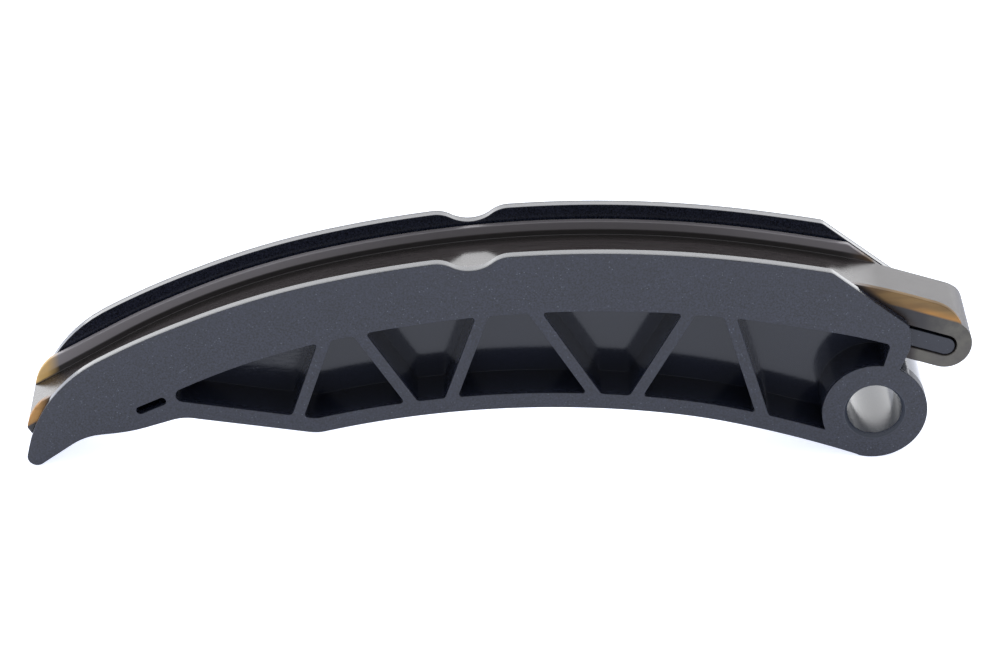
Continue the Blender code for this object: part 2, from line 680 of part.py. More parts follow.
def main():
    for item in list(bpy.data.objects):
        bpy.data.objects.remove(item)
    home = collection("timing_chain_guide")
    tools = collection("cutters")
    build_carrier(home, tools)
    build_liner(home, tools)


main()
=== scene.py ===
# Timing chain guide: a black carrier beam with a brown slide liner hooked along its channel
import math

import bmesh
import bpy
from mathutils import Matrix, Vector


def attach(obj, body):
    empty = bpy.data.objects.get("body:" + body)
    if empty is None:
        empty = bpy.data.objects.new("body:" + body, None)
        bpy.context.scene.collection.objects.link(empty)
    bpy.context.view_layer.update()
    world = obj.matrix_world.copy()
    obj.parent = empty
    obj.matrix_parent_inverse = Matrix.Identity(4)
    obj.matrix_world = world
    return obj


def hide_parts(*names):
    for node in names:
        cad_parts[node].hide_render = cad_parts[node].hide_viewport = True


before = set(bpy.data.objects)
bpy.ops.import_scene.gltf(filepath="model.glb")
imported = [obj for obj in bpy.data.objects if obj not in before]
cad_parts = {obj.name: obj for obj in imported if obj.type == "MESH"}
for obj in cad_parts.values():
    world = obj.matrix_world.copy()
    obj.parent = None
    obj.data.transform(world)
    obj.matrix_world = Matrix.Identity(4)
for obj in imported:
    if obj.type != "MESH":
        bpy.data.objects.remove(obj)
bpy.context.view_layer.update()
print("frame loaded:", ", ".join(sorted(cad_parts)))

mm = 0.001
degree = math.pi / 180
trackStep = 1.2 * mm  # how finely long curves are faceted
roundStep = 5.0 * degree  # and how finely tight ones are
weldDistance = 0.001 * mm
cutMargin = 8.0 * mm  # how far a cutter stands past what it cuts
halvings = 40  # steps of a search by halving


# Run, drop and slope after a distance along tangent arcs that start level
def fall(legs, distance):
    run = 0.0
    drop = 0.0
    slope = 0.0
    for length, radius in legs:
        step = min(distance, length)
        distance -= step
        if math.isinf(radius):
            run += step * math.cos(slope)
            drop += step * math.sin(slope)
        else:
            turned = slope + step / radius
            run += radius * (math.sin(turned) - math.sin(slope))
            drop += radius * (math.cos(slope) - math.cos(turned))
            slope = turned
    run += distance * math.cos(slope)
    drop += distance * math.sin(slope)
    return run, drop, slope


# A crest with tangent arcs that fall away from it on both sides
class Path:
    def __init__(self, x, z, noseLegs, pivotLegs):
        self.crest = Vector((x, z))
        self.noseLegs = noseLegs
        self.pivotLegs = pivotLegs
        self.start = -sum(length for length, radius in noseLegs)
        self.end = sum(length for length, radius in pivotLegs)

    # Point at a height square to the path
    def at(self, station, height=0.0):
        side = math.copysign(1.0, station)
        legs = self.pivotLegs if station > 0 else self.noseLegs
        run, drop, slope = fall(legs, abs(station))
        across = Vector((side * math.sin(slope), math.cos(slope)))
        return self.crest + Vector((side * run, -drop)) + across * height

    # Stations between two, with every joint of the arcs and closer steps on tight arcs
    def stations(self, first, last):
        joints = [(0.0, 0.0, math.inf)]
        for side, legs in ((-1, self.noseLegs), (1, self.pivotLegs)):
            reached = 0.0
            for length, radius in legs:
                joints.append((side * reached, side * (reached + length), abs(radius)))
                reached += length
            joints.append((side * reached, side * (reached + 1.0), math.inf))
        low, high = min(first, last), max(first, last)
        found = set()
        for one, other, radius in joints:
            start, end = max(low, min(one, other)), min(high, max(one, other))
            if end - start > weldDistance:
                found.update(stepsBetween(start, end, min(trackStep, radius * roundStep)))
        return sorted(found, reverse=last < first)

    # Points from one station to another at a height, which may vary with the station
    def run(self, first, last, height=0.0):
        level = height if callable(height) else lambda station: height
        return [self.at(station, level(station)) for station in self.stations(first, last)]


# Evenly spaced values from the first to the last, both included
def stepsBetween(first, last, step):
    count = max(1, math.ceil(abs(last - first) / step - 0.001))
    return [first + (last - first) * i / count for i in range(count)] + [last]


# Points on a circle between two angles, measured from +X towards +Z
def arc(centre, radius, start, end):
    return [
        Vector((centre[0] + radius * math.cos(angle), centre[1] + radius * math.sin(angle)))
        for angle in stepsBetween(start, end, roundStep)
    ]


# A corner between two straight runs, rounded by a tangent arc
def rounded(before, corner, after, radius):
    toBefore = (before - corner).normalized()
    toAfter = (after - corner).normalized()
    half = toBefore.angle(toAfter) / 2
    longest = min((before - corner).length, (after - corner).length)
    radius = min(radius, longest * math.tan(half))
    centre = corner + (toBefore + toAfter).normalized() * radius / math.sin(half)
    start = corner + toBefore * radius / math.tan(half) - centre
    end = corner + toAfter * radius / math.tan(half) - centre
    turn = start.angle_signed(end)
    count = max(1, math.ceil(abs(turn) / roundStep))
    first = math.atan2(start.y, start.x)
    angles = [first - turn * i / count for i in range(count + 1)]
    return [centre + radius * Vector((math.cos(angle), math.sin(angle))) for angle in angles]


# A closed outline of corners, each given with the radius that rounds it
def roundedOutline(corners):
    outline = []
    for i, (corner, radius) in enumerate(corners):
        before = corners[i - 1][0]
        after = corners[(i + 1) % len(corners)][0]
        outline += rounded(before, corner, after, radius) if radius else [corner]
    return outline


# Where two lines meet, each given by a point and the angle it climbs at
def crossing(point, heading, other, otherHeading):
    direction = Vector((math.cos(heading), math.sin(heading)))
    across = Vector((math.cos(otherHeading), math.sin(otherHeading)))
    gap = Vector(other) - Vector(point)
    reach = gap.cross(across) / direction.cross(across)
    return Vector(point) + direction * reach


# Where a measure along a path changes its sign, found by halving
def signChange(measure, first, last):
    low, high = first, last
    lowSide = measure(low)
    for _ in range(halvings):
        middle = (low + high) / 2
        if measure(middle) * lowSide > 0:
            low = middle
        else:
            high = middle
    return (low + high) / 2


# Station where a path at a height crosses a line
def meets(path, height, start, direction, first, last):
    return signChange(lambda station: direction.cross(path.at(station, height) - start), first, last)


track = {
    "crestX": 22.3 * mm,
    "crestHeight": 51.9 * mm,
    "mainRadius": 284.8 * mm,
    "mainNoseLength": 66.1 * mm,
    "mainPivotLength": 39.9 * mm,
    "noseRadius": 192.7 * mm,
    "noseLength": 57.5 * mm,
    "noseStraight": 26.1 * mm,
    "pivotRadius": 420.0 * mm,
    "pivotLength": 26.4 * mm,
    "hookRadius": 150.0 * mm,
    "hookLength": 15.1 * mm,
    "hookStraight": 12.2 * mm,
}
runLine = Path(
    track["crestX"],
    track["crestHeight"],
    (
        (track["mainNoseLength"], track["mainRadius"]),
        (track["noseLength"], track["noseRadius"]),
        (track["noseStraight"], math.inf),
    ),
    (
        (track["mainPivotLength"], track["mainRadius"]),
        (track["pivotLength"], track["pivotRadius"]),
        (track["hookLength"], track["hookRadius"]),
        (track["hookStraight"], math.inf),
    ),
)


# A Geometry Nodes tree with its named inputs
def newTree(name, inputs):
    tree = bpy.data.node_groups.new(name, "GeometryNodeTree")
    tree.interface.new_socket("Geometry", in_out="INPUT", socket_type="NodeSocketGeometry")
    tree.interface.new_socket("Geometry", in_out="OUTPUT", socket_type="NodeSocketGeometry")
    for label, kind in inputs:
        tree.interface.new_socket(label, in_out="INPUT", socket_type="NodeSocket" + kind)
    return tree, tree.nodes.new("NodeGroupInput").outputs, tree.nodes.new("NodeGroupOutput").inputs


# A node with its settings; an input given a socket is linked to it
def add(tree, kind, inputs, **settings):
    made = tree.nodes.new(kind)
    for key, value in settings.items():
        setattr(made, key, value)
    for key, value in inputs.items():
        for each in value if isinstance(value, list) else [value]:
            if isinstance(each, bpy.types.NodeSocket):
                tree.links.new(each, made.inputs[key])
            else:
                made.inputs[key].default_value = each
    return made.outputs


def calculate(tree, operation, first, second=0.0, third=0.0):
    return add(tree, "ShaderNodeMath", {0: first, 1: second, 2: third}, operation=operation)[0]


def plus(tree, first, second):
    return calculate(tree, "ADD", first, second)


def minus(tree, first, second):
    return calculate(tree, "SUBTRACT", first, second)


def times(tree, first, second):
    return calculate(tree, "MULTIPLY", first, second)


# Puts a tree on an object, with values for its named inputs
def growWith(thing, tree, values):
    grown = thing.modifiers.new(tree.name, "NODES")
    grown.node_group = tree
    sockets = {item.name: item.identifier for item in tree.interface.items_tree if item.in_out == "INPUT"}
    for label, value in values.items():
        grown[sockets[label]] = value


# A new object in the scene
def placed(name, data):
    made = bpy.data.objects.new(name, data)
    bpy.context.scene.collection.objects.link(made)
    return made


# An object without faces that a tree reads its points from
def guide(name, loops, attributes=None, closed=True):
    points = [(*place, 0.0)[:3] for loop in loops for place in loop]
    edges = []
    start = 0
    for loop in loops:
        last = len(loop) if closed else len(loop) - 1
        edges += [(start + i, start + (i + 1) % len(loop)) for i in range(last)]
        start += len(loop)
    mesh = bpy.data.meshes.new(name)
    mesh.from_pydata(points, edges, [])
    for label, values in (attributes or {}).items():
        kind = "FLOAT_VECTOR" if isinstance(values[0], Vector) else "FLOAT"
        layer = mesh.attributes.new(label, kind, "POINT")
        for item, value in zip(layer.data, values):
            if kind == "FLOAT":
                item.value = value
            else:
                item.vector = value
    return placed(name, mesh)


# Marks which edges are rounded: outer ones fully and inner ones less
def markEdges(thing, sharpest, innerShare):
    work = bmesh.new()
    work.from_mesh(thing.data)
    weight = work.edges.layers.float.new("bevel_weight_edge")
    for edge in work.edges:
        if len(edge.link_faces) == 2 and edge.calc_face_angle() > sharpest:
            edge[weight] = 1.0 if edge.is_convex else innerShare
    work.to_mesh(thing.data)
    work.free()


# What an object's modifiers make of it, as a plain mesh in a new object
def baked(name, thing):
    bpy.context.view_layer.update()
    seen = thing.evaluated_get(bpy.context.evaluated_depsgraph_get())
    mesh = bpy.data.meshes.new_from_object(seen)
    mesh.name = name
    thing.modifiers.clear()
    bpy.data.objects.remove(thing)
    return placed(name, mesh)


# Welds a mesh, turns it right side out and joins faces that lie flat together
def tidied(thing, flat=0.2 * degree):
    work = bmesh.new()
    work.from_mesh(thing.data)
    bmesh.ops.remove_doubles(work, verts=work.verts, dist=3 * weldDistance)
    bmesh.ops.dissolve_degenerate(work, edges=work.edges, dist=3 * weldDistance)
    if flat:
        bmesh.ops.dissolve_limit(work, verts=work.verts, edges=work.edges, angle_limit=flat)
    bmesh.ops.recalc_face_normals(work, faces=work.faces)
    openEdges = sum(1 for edge in work.edges if len(edge.link_faces) != 2)
    work.to_mesh(thing.data)
    work.free()
    thing.data.shade_smooth()
    print("  ", thing.name, len(thing.data.polygons), "faces,", openEdges, "open edges")
    return thing


# A material's tree with its shader, and the object's own coordinates
def newMaterial(name, numbers):
    made = bpy.data.materials.new(name)
    made.use_nodes = True
    shader = made.node_tree.nodes["Principled BSDF"]
    for label, value in numbers.items():
        shader.inputs[label].default_value = value
    place = made.node_tree.nodes.new("ShaderNodeTexCoord").outputs["Object"]
    return made, made.node_tree, shader.inputs, place


def noise(tree, place, scale, detail=2.0, roughness=0.5):
    inputs = {"Vector": place, "Scale": scale, "Detail": detail, "Roughness": roughness}
    return add(tree, "ShaderNodeTexNoise", inputs)[0]


def ramp(tree, value, low, high, first=0.0, last=1.0):
    inputs = {"Value": value, "From Min": low, "From Max": high, "To Min": first, "To Max": last}
    return add(tree, "ShaderNodeMapRange", inputs)["Result"]


def blendColours(tree, share, first, second):
    return add(tree, "ShaderNodeMix", {0: share, 6: first, 7: second}, data_type="RGBA")[2]


# Seen from the side: a place's distance from a point, or its dot product with a direction
def fromSide(tree, axes, operation, other):
    seen = add(tree, "ShaderNodeCombineXYZ", {"X": axes["X"], "Y": axes["Z"]})[0]
    return add(tree, "ShaderNodeVectorMath", {0: seen, 1: (*other, 0.0)}, operation=operation)["Value"]


# Turned and stretched coordinates, for marks that run one way
def stretched(tree, place, scale, lean=0.0):
    return add(tree, "ShaderNodeMapping", {"Vector": place, "Rotation": (0.0, lean, 0.0), "Scale": scale})[0]


# Links the colour, the roughness and a bump to a material's shader
def finish(tree, shader, tone, rough, relief, strength, distance):
    bump = add(tree, "ShaderNodeBump", {"Height": relief, "Strength": strength, "Distance": distance})[0]
    for label, value in (("Base Color", tone), ("Roughness", rough), ("Normal", bump)):
        tree.links.new(value, shader[label])


# Black glass-filled nylon: grained on the outer faces, smoother in the pockets, with pale fibre specks
def glassFilledNylon():
    look = {
        "dark": (0.002, 0.003, 0.006, 1.0),
        "pale": (0.018, 0.021, 0.036, 1.0),
        "pocket": (0.008, 0.010, 0.018, 1.0),
        "bore": (0.012, 0.019, 0.036, 1.0),
        "paleChamfer": (0.040, 0.045, 0.058, 1.0),
        "fibre": (0.10, 0.12, 0.15, 1.0),
        "fibreShare": 0.7,
        "grainScale": 2000.0,
        "cloudScale": 120.0,
        "speckScale": 1300.0,
        "rareScale": 650.0,
        "markScale": 500.0,
        "markStretch": (0.5, 1.0, 4.0),
        "markLean": 30 * degree,
        "markEnds": (-45 * mm, -49 * mm),
        "markHeights": (18 * mm, 25 * mm),
        "faceRoughness": 0.45,
        "pocketRoughness": 0.12,
        "boreRoughness": 0.2,
        "pocketRelief": 0.15,
        "boreRelief": 0.5,
    }
    made, tree, shader, place = newMaterial("glassFilledNylon", {"Metallic": 0.0, "IOR": 1.5})
    axes = add(tree, "ShaderNodeSeparateXYZ", {0: place})
    depth = calculate(tree, "ABSOLUTE", axes["Y"])

    # Where a place lies: on an outer face, in a wall, in the bore or on its chamfer
    outer = ramp(tree, depth, halfWidth - 1.2 * mm, halfWidth - 0.4 * mm)
    tongueSide = calculate(tree, "GREATER_THAN", depth, channelHalf - 1.2 * mm)
    tongueSide = times(tree, tongueSide, ramp(tree, axes["X"], cheekX + 0.1 * mm, cheekX + 0.5 * mm))
    outer = calculate(tree, "MAXIMUM", outer, tongueSide)
    inWall = ramp(tree, depth, channelHalf - 0.4 * mm, channelHalf - 0.1 * mm)
    fromAxis = fromSide(tree, axes, "DISTANCE", (carrier["bossX"], carrier["bossRadius"]))
    boreRadius = carrier["boreDiameter"] / 2
    inBore = calculate(tree, "LESS_THAN", fromAxis, boreRadius + 0.2 * mm)
    onChamfer = calculate(tree, "LESS_THAN", fromAxis, boreRadius + carrier["chamferWidth"] + 0.05 * mm)
    atMouth = calculate(tree, "GREATER_THAN", depth, halfWidth - carrier["chamferDepth"])
    onChamfer = times(tree, onChamfer, atMouth)

    grain = noise(tree, place, look["grainScale"], 3.0, 0.6)
    cloud = noise(tree, place, look["cloudScale"], 4.0)
    scattered = {"Vector": place, "Scale": look["speckScale"], "Randomness": 1.0}
    cells = add(tree, "ShaderNodeTexVoronoi", scattered)["Distance"]
    speck = ramp(tree, cells, 0.10, 0.24, 1.0, 0.0)
    rare = ramp(tree, noise(tree, place, look["rareScale"], 1.0), 0.54, 0.64)
    speck = times(tree, times(tree, speck, rare), outer)
    mottle = plus(tree, ramp(tree, grain, 0.34, 0.66), ramp(tree, cloud, 0.3, 0.7, -0.06, 0.06))
    tone = blendColours(tree, mottle, look["dark"], look["pale"])
    tone = blendColours(tree, inWall, look["pocket"], tone)
    tone = blendColours(tree, times(tree, speck, look["fibreShare"]), tone, look["fibre"])
    tone = blendColours(tree, inBore, tone, look["bore"])
    # the bore's chamfer is coloured paler
    tone = blendColours(tree, onChamfer, tone, look["paleChamfer"])

    rough = ramp(tree, outer, 0.0, 1.0, look["pocketRoughness"], look["faceRoughness"])
    rough = plus(tree, rough, times(tree, inBore, look["boreRoughness"] - look["pocketRoughness"]))
    rough = plus(tree, rough, ramp(tree, grain, 0.3, 0.7, -0.04, 0.04))
    marked = calculate(tree, "LESS_THAN", depth, carrier["webThickness"] / 2 + 0.3 * mm)
    marked = times(tree, marked, ramp(tree, axes["X"], *look["markEnds"]))
    marked = times(tree, marked, ramp(tree, axes["Z"], *look["markHeights"], 0.25, 1.0))
    marks = stretched(tree, place, look["markStretch"], look["markLean"])
    marks = ramp(tree, noise(tree, marks, look["markScale"], 3.0), 0.35, 0.65, 0.03, 0.24)
    rough = plus(tree, rough, times(tree, marked, marks))  # flow marks on the first pocket's web

    relief = ramp(tree, outer, 0.0, 1.0, look["pocketRelief"], 1.0)
    relief = calculate(tree, "MAXIMUM", relief, times(tree, inBore, look["boreRelief"]))
    finish(tree, shader, tone, rough, times(tree, grain, relief), 0.4, 0.06 * mm)
    return made


# Brown slide nylon: polished along the running floor, with painted light where its thin lips stand clear of
# the walls
def slideNylon():
    look = {
        "base": (0.036, 0.030, 0.029, 1.0),
        "wornFloorAndLitLip": (0.052, 0.045, 0.044, 1.0),
        # painted light: the lips' pale tones
        "lip": (0.15, 0.138, 0.140, 1.0),
        "brighterLitLip": (0.27, 0.25, 0.255, 1.0),
        # painted shade in the crease beside the lips
        "crease": (0.022, 0.019, 0.018, 1.0),
        "hookSide": (0.012, 0.010, 0.011, 1.0),
        "hookEnd": (0.080, 0.074, 0.058, 1.0),
        "shaded": (0.010, 0.004, 0.002, 1.0),
        "hookShade": (0.075, 0.040, 0.014, 1.0),
        "hookAmber": (0.21, 0.125, 0.042, 1.0),
        "hookGold": (0.33, 0.155, 0.035, 1.0),
        "noseAmber": (0.44, 0.22, 0.055, 1.0),
        "noseGold": (0.72, 0.46, 0.16, 1.0),
        "drawnScale": 60.0,
        "drawnStretch": (1.0, 30.0, 30.0),
        "patchScale": 420.0,
        "flowScale": 130.0,
        "flowStretch": (0.4, 1.0, 3.0),
        "flowLean": -17 * degree,
        "roughness": 0.13,
        "lipRoughness": 0.42,
        "hookRoughness": 0.34,
        "noseRoughness": 0.12,
    }
    values = {"Metallic": 0.0, "IOR": 1.52, "Specular IOR Level": 0.44}
    made, tree, shader, place = newMaterial("slideNylon", values)
    axes = add(tree, "ShaderNodeSeparateXYZ", {0: place})
    depth = calculate(tree, "ABSOLUTE", axes["Y"])
    nearSide = calculate(tree, "LESS_THAN", axes["Y"], 0.0)
    farSide = calculate(tree, "GREATER_THAN", axes["Y"], 0.0)
    above = add(tree, "ShaderNodeAttribute", {}, attribute_name="above")["Fac"]
    turned = add(tree, "ShaderNodeAttribute", {}, attribute_name="turned")["Fac"]
    inner = linerHalf - liner["lipThickness"]

    def along(first, last):  # 0 to 1 between two places along the guide, in millimetres
        return ramp(tree, axes["X"], first * mm, last * mm)

    def both(one, other):
        return times(tree, one, other)

    drawn = noise(tree, stretched(tree, place, look["drawnStretch"]), look["drawnScale"], 4.0)
    patches = noise(tree, place, look["patchScale"], 3.0, 0.6)
    flow = noise(tree, stretched(tree, place, look["flowStretch"], look["flowLean"]), look["flowScale"], 2.0)

    # The running floor with its worn streaks, the lips in painted light, and painted shade in the crease
    # between them
    tone = blendColours(tree, ramp(tree, drawn, 0.3, 0.7), look["base"], look["wornFloorAndLitLip"])
    # Painted light: the lips are coloured far paler than the floor, for the light that comes through them
    # and falls on them, and paler still towards both ends
    onLip = ramp(tree, above, 1.2 * mm, 1.7 * mm)
    wornFloorAndLitLip = plus(tree, both(along(-15, -60), 0.8), both(along(45, 70), 0.45))
    tone = blendColours(tree, onLip, tone, blendColours(tree, wornFloorAndLitLip, look["lip"], look["brighterLitLip"]))
    # Painted shade: a band of the floor beside each lip, short of the hook, is coloured darker for the shade
    # in the crease
    creaseShade = ramp(tree, depth, inner - 3.4 * mm, inner - 1.4 * mm)
    creaseShade = both(creaseShade, ramp(tree, above, 1.2 * mm, 1.7 * mm, 1.0, 0.0))
    creaseShade = both(creaseShade, calculate(tree, "LESS_THAN", depth, inner + 0.1 * mm))
    tone = blendColours(tree, both(creaseShade, along(92, 88)), tone, look["crease"])

    # The strip's cut side: dark under the wall's end and paler round the hook
    cutSide = ramp(tree, depth, linerHalf - 0.3 * mm, linerHalf - 0.1 * mm)
    tone = blendColours(tree, both(cutSide, ramp(tree, turned, 0.1, 0.5, 1.0, 0.0)), tone, look["hookSide"])
    onHook = calculate(tree, "MAXIMUM", along(106, 114), ramp(tree, turned, 0.35, 0.7))
    onHook = both(both(cutSide, onHook), ramp(tree, patches, 0.35, 0.65, 0.5, 1.0))
    tone = blendColours(tree, onHook, tone, look["hookEnd"])

    # Painted light: the light that comes through the lips at both ends is painted as amber, darker towards
    # the wall's end, with a painted golden glow low on the hook's lip and a brighter gold on the far lip at
    # the nose
    standing = ramp(tree, above, 0.0, 0.5 * mm)
    richer = plus(tree, flow, ramp(tree, axes["X"], 92 * mm, 108 * mm, -0.2, 0.15))
    amber = blendColours(tree, ramp(tree, richer, 0.25, 0.75), look["hookShade"], look["hookAmber"])
    goldenGlow = both(ramp(tree, above, 0.8 * mm, 2.2 * mm, 1.0, 0.0), along(100, 108))
    goldenGlow = both(goldenGlow, ramp(tree, flow, 0.35, 0.6, 0.3, 0.9))
    amber = blendColours(tree, goldenGlow, amber, look["hookGold"])
    atHook = calculate(tree, "MAXIMUM", along(90, 97), both(along(87.5, 93), nearSide))
    tone = blendColours(tree, both(atHook, standing), tone, amber)
    gold = blendColours(tree, farSide, look["noseAmber"], look["noseGold"])
    atNose = both(both(along(-112.3, -115.6), standing), ramp(tree, flow, 0.35, 0.6, 0.75, 1.0))
    tone = blendColours(tree, atNose, tone, gold)

    # Painted shade: the liner's side in the gap beside the sloping wall end is coloured dark
    wallEnd = runLine.at(carrier["wallEndStation"], carrier["wallHeight"])
    square = Vector((math.sin(carrier["wallEndSlope"]), math.cos(carrier["wallEndSlope"])))
    clear = minus(tree, fromSide(tree, axes, "DOT_PRODUCT", square), wallEnd.dot(square))
    shaded = both(ramp(tree, clear, 0.2 * mm, 1.3 * mm, 1.0, 0.0), both(along(84, 90), along(105.5, 103.5)))
    shaded = both(shaded, calculate(tree, "LESS_THAN", axes["Y"], -linerHalf + 0.3 * mm))
    tone = blendColours(tree, shaded, tone, look["shaded"])

    rough = ramp(tree, standing, 0.0, 1.0, look["roughness"], look["lipRoughness"])
    rough = plus(tree, rough, ramp(tree, drawn, 0.3, 0.7, -0.03, 0.04))
    rough = plus(tree, rough, both(along(84, 96), look["hookRoughness"]))
    rough = plus(tree, rough, both(along(-95, -110), look["noseRoughness"]))
    finish(tree, shader, tone, rough, drawn, 0.08, 0.05 * mm)
    return made


liner = {
    "seatGap": 0.3 * mm,
    "sideClearance": 0.5 * mm,
    "noseThickness": 2.1 * mm,
    "hookThickness": 4.1 * mm,
    "lipThickness": 1.6 * mm,
    "lipHeight": 3.7 * mm,
    "lipNoseHeight": 4.5 * mm,
    "lipRiseLength": 45.0 * mm,
    "lipNoseRound": 12.0 * mm,
    "lipNoseLean": 3.8 * mm,
    "lipHookRound": 11.0 * mm,
    "lipHookSetback": 1.7 * mm,
    "lipHookSlope": 50.6 * degree,
    "farEdgeStep": 0.9 * mm,
    "farEdgeRound": 5.0 * mm,
    "hookOuterRadius": 6.6 * mm,
    "hookArmThickness": 3.3 * mm,
    "hookArmLength": 9.4 * mm,
    "edgeRound": 0.25 * mm,
    "creaseRound": 0.2 * mm,
    "roundTurn": 22.5 * degree,
    "noseFineLength": 11.0 * mm,
    "noseStep": 0.4 * mm,
    "hookStep": 0.5 * mm,
    "hookTurn": 4.0 * degree,
    "armStep": 1.5 * mm,
    "endInset": 0.97,
    "lipFade": 1.0 * mm,
    "flatWeight": 70,
}
carrier = {
    "width": 28.8 * mm,
    "wallThickness": 2.5 * mm,
    "webThickness": 5.0 * mm,
    "wallHeight": 7.35 * mm,
    "wallNoseHeight": 7.85 * mm,
    "wallRiseLength": 25.0 * mm,
    "wallEndStation": 59.4 * mm,
    "wallEndSlope": 37.6 * degree,
    "wallEndRound": 3.0 * mm,
    "notchStation": -28.05 * mm,
    "notchFloor": 4.35 * mm,
    "notchRadius": 9.2 * mm,
    "notchShoulder": 7.5 * mm,
    "noseTip": (-116.65 * mm, 2.65 * mm),
    "noseTipRound": 2.4 * mm,
    "noseFrontSlope": 77.0 * degree,
    "noseFrontRound": 38.0 * mm,
    "heel": (-104.2 * mm, 8.55 * mm),
    "heelRound": 15.0 * mm,
    "belly": (-92.4 * mm, 9.8 * mm),
    "bellyRound": 40.0 * mm,
    "hollow": (-79.1 * mm, 14.0 * mm),
    "hollowRound": 12.0 * mm,
    "archX": 11.2 * mm,
    "archHeight": 15.6 * mm,
    "archRadius": 240.0 * mm,
    "archNoseLength": 55.3 * mm,
    "kneeRadius": 10.0 * mm,
    "kneeLength": 3.8 * mm,
    "kneeRun": 28.0 * mm,
    "archPivotLength": 33.1 * mm,
    "shoulderRadius": 158.0 * mm,
    "shoulderLength": 16.0 * mm,
    "footRadius": 280.0 * mm,
    "footLength": 32.4 * mm,
    "bossX": 95.0 * mm,
    "bossRadius": 13.3 * mm,
    "boreDiameter": 13.9 * mm,
    "chamferWidth": 0.8 * mm,
    "chamferDepth": 1.2 * mm,
    "cheekReach": 8.1 * mm,
    "cheekFace": 6.0 * mm,
    "cheekRound": 4.5 * mm,
    "cheekFootAngle": 64.5 * degree,
    "ceilingDepth": 8.8 * mm,
    "lastCeilingDepth": 9.2 * mm,
    "flangeThickness": 4.22 * mm,
    "ribThickness": 2.95 * mm,
    "ribTops": (-41.5 * mm, -36.2 * mm, -4.4 * mm, 11.1 * mm, 46.5 * mm, 58.1 * mm),
    "ribFeet": (-48.9 * mm, -22.0 * mm, -11.9 * mm, 25.1 * mm, 34.4 * mm, 65.0 * mm),
    "ribTopHeight": 40.0 * mm,
    "ribFootHeight": 18.0 * mm,
    "pocketRound": 1.3 * mm,
    "firstPocketTip": (-80.7 * mm, 18.65 * mm),
    "firstPocketSlope": 8.9 * degree,
    "firstPocketRound": 1.85 * mm,
    "lastPocketWall": 6.6 * mm,
    "lastPocketLean": 14.0 * degree,
    "slotStart": (-89.8 * mm, 16.05 * mm),
    "slotEnd": (-84.3 * mm, 18.55 * mm),
    "slotWidth": 2.1 * mm,
    "tongueTopClearance": 0.9 * mm,
    "tongueFootClearance": 0.3 * mm,
    "tongueTipClearance": 0.4 * mm,
    "tongueSideClearance": 0.9 * mm,
    "tongueRootLength": 12.0 * mm,
    "armPocketClearance": 0.5 * mm,
    "armPocketEndClearance": 1.0 * mm,
    "edgeRound": 0.14 * mm,
    "innerRoundShare": 0.4,
    "roundSegments": 3,
    "sharpEdge": 30.0 * degree,
    "boreSides": 96,
    "flatWeight": 90,
}

halfWidth = carrier["width"] / 2
cheekX = carrier["bossX"] + carrier["cheekReach"]
channelHalf = halfWidth - carrier["wallThickness"]
linerHalf = channelHalf - liner["sideClearance"]
noseEnd = -(track["mainNoseLength"] + track["noseLength"] + track["noseStraight"])
wallNoseEnd = -(track["mainNoseLength"] + track["noseLength"])
taperEnd = track["mainPivotLength"] + track["pivotLength"]
hookStation = taperEnd + track["hookLength"] + track["hookStraight"]
lipHookCorner = hookStation + liner["lipHookSetback"] - liner["lipHeight"] / math.tan(liner["lipHookSlope"])
lipHookTop = lipHookCorner - liner["lipHookRound"] * math.tan(liner["lipHookSlope"] / 2)
hookRoom = 2 * liner["hookOuterRadius"] - liner["hookThickness"] - liner["hookArmThickness"]
hookRoomMiddle = -liner["hookThickness"] - hookRoom / 2
tongueRadius = (hookRoom - carrier["tongueTopClearance"] - carrier["tongueFootClearance"]) / 2
tongueMiddle = -liner["hookThickness"] - carrier["tongueTopClearance"] - tongueRadius
hookInnerRadius = hookRoom / 2
archLine = Path(
    carrier["archX"],
    carrier["archHeight"],
    (
        (carrier["archNoseLength"], carrier["archRadius"]),
        (carrier["kneeLength"], -carrier["kneeRadius"]),
        (carrier["kneeRun"], math.inf),
    ),
    (
        (carrier["archPivotLength"], carrier["archRadius"]),
        (carrier["shoulderLength"], carrier["shoulderRadius"]),
        (carrier["footLength"], carrier["footRadius"]),
    ),
)


# The liner is thin at the nose and thickens evenly towards its hook
def linerThickness(station):
    share = (station - noseEnd) / (taperEnd - noseEnd)
    return liner["noseThickness"] + (liner["hookThickness"] - liner["noseThickness"]) * min(1.0, share)


# A height that grows evenly over a length towards the nose, up to the station where it ends
def risen(station, end, length, height, endHeight):
    share = (end + length - station) / length
    return height + (endHeight - height) * min(1.0, max(0.0, share))


# The lips stand a little taller where they run out past the nose
def lipHeight(station):
    return risen(station, noseEnd, liner["lipRiseLength"], liner["lipHeight"], liner["lipNoseHeight"])


# The side walls stand a little taller where they run out to the nose
def wallHeight(station):
    length = carrier["wallRiseLength"]
    return risen(station, wallNoseEnd, length, carrier["wallHeight"], carrier["wallNoseHeight"])


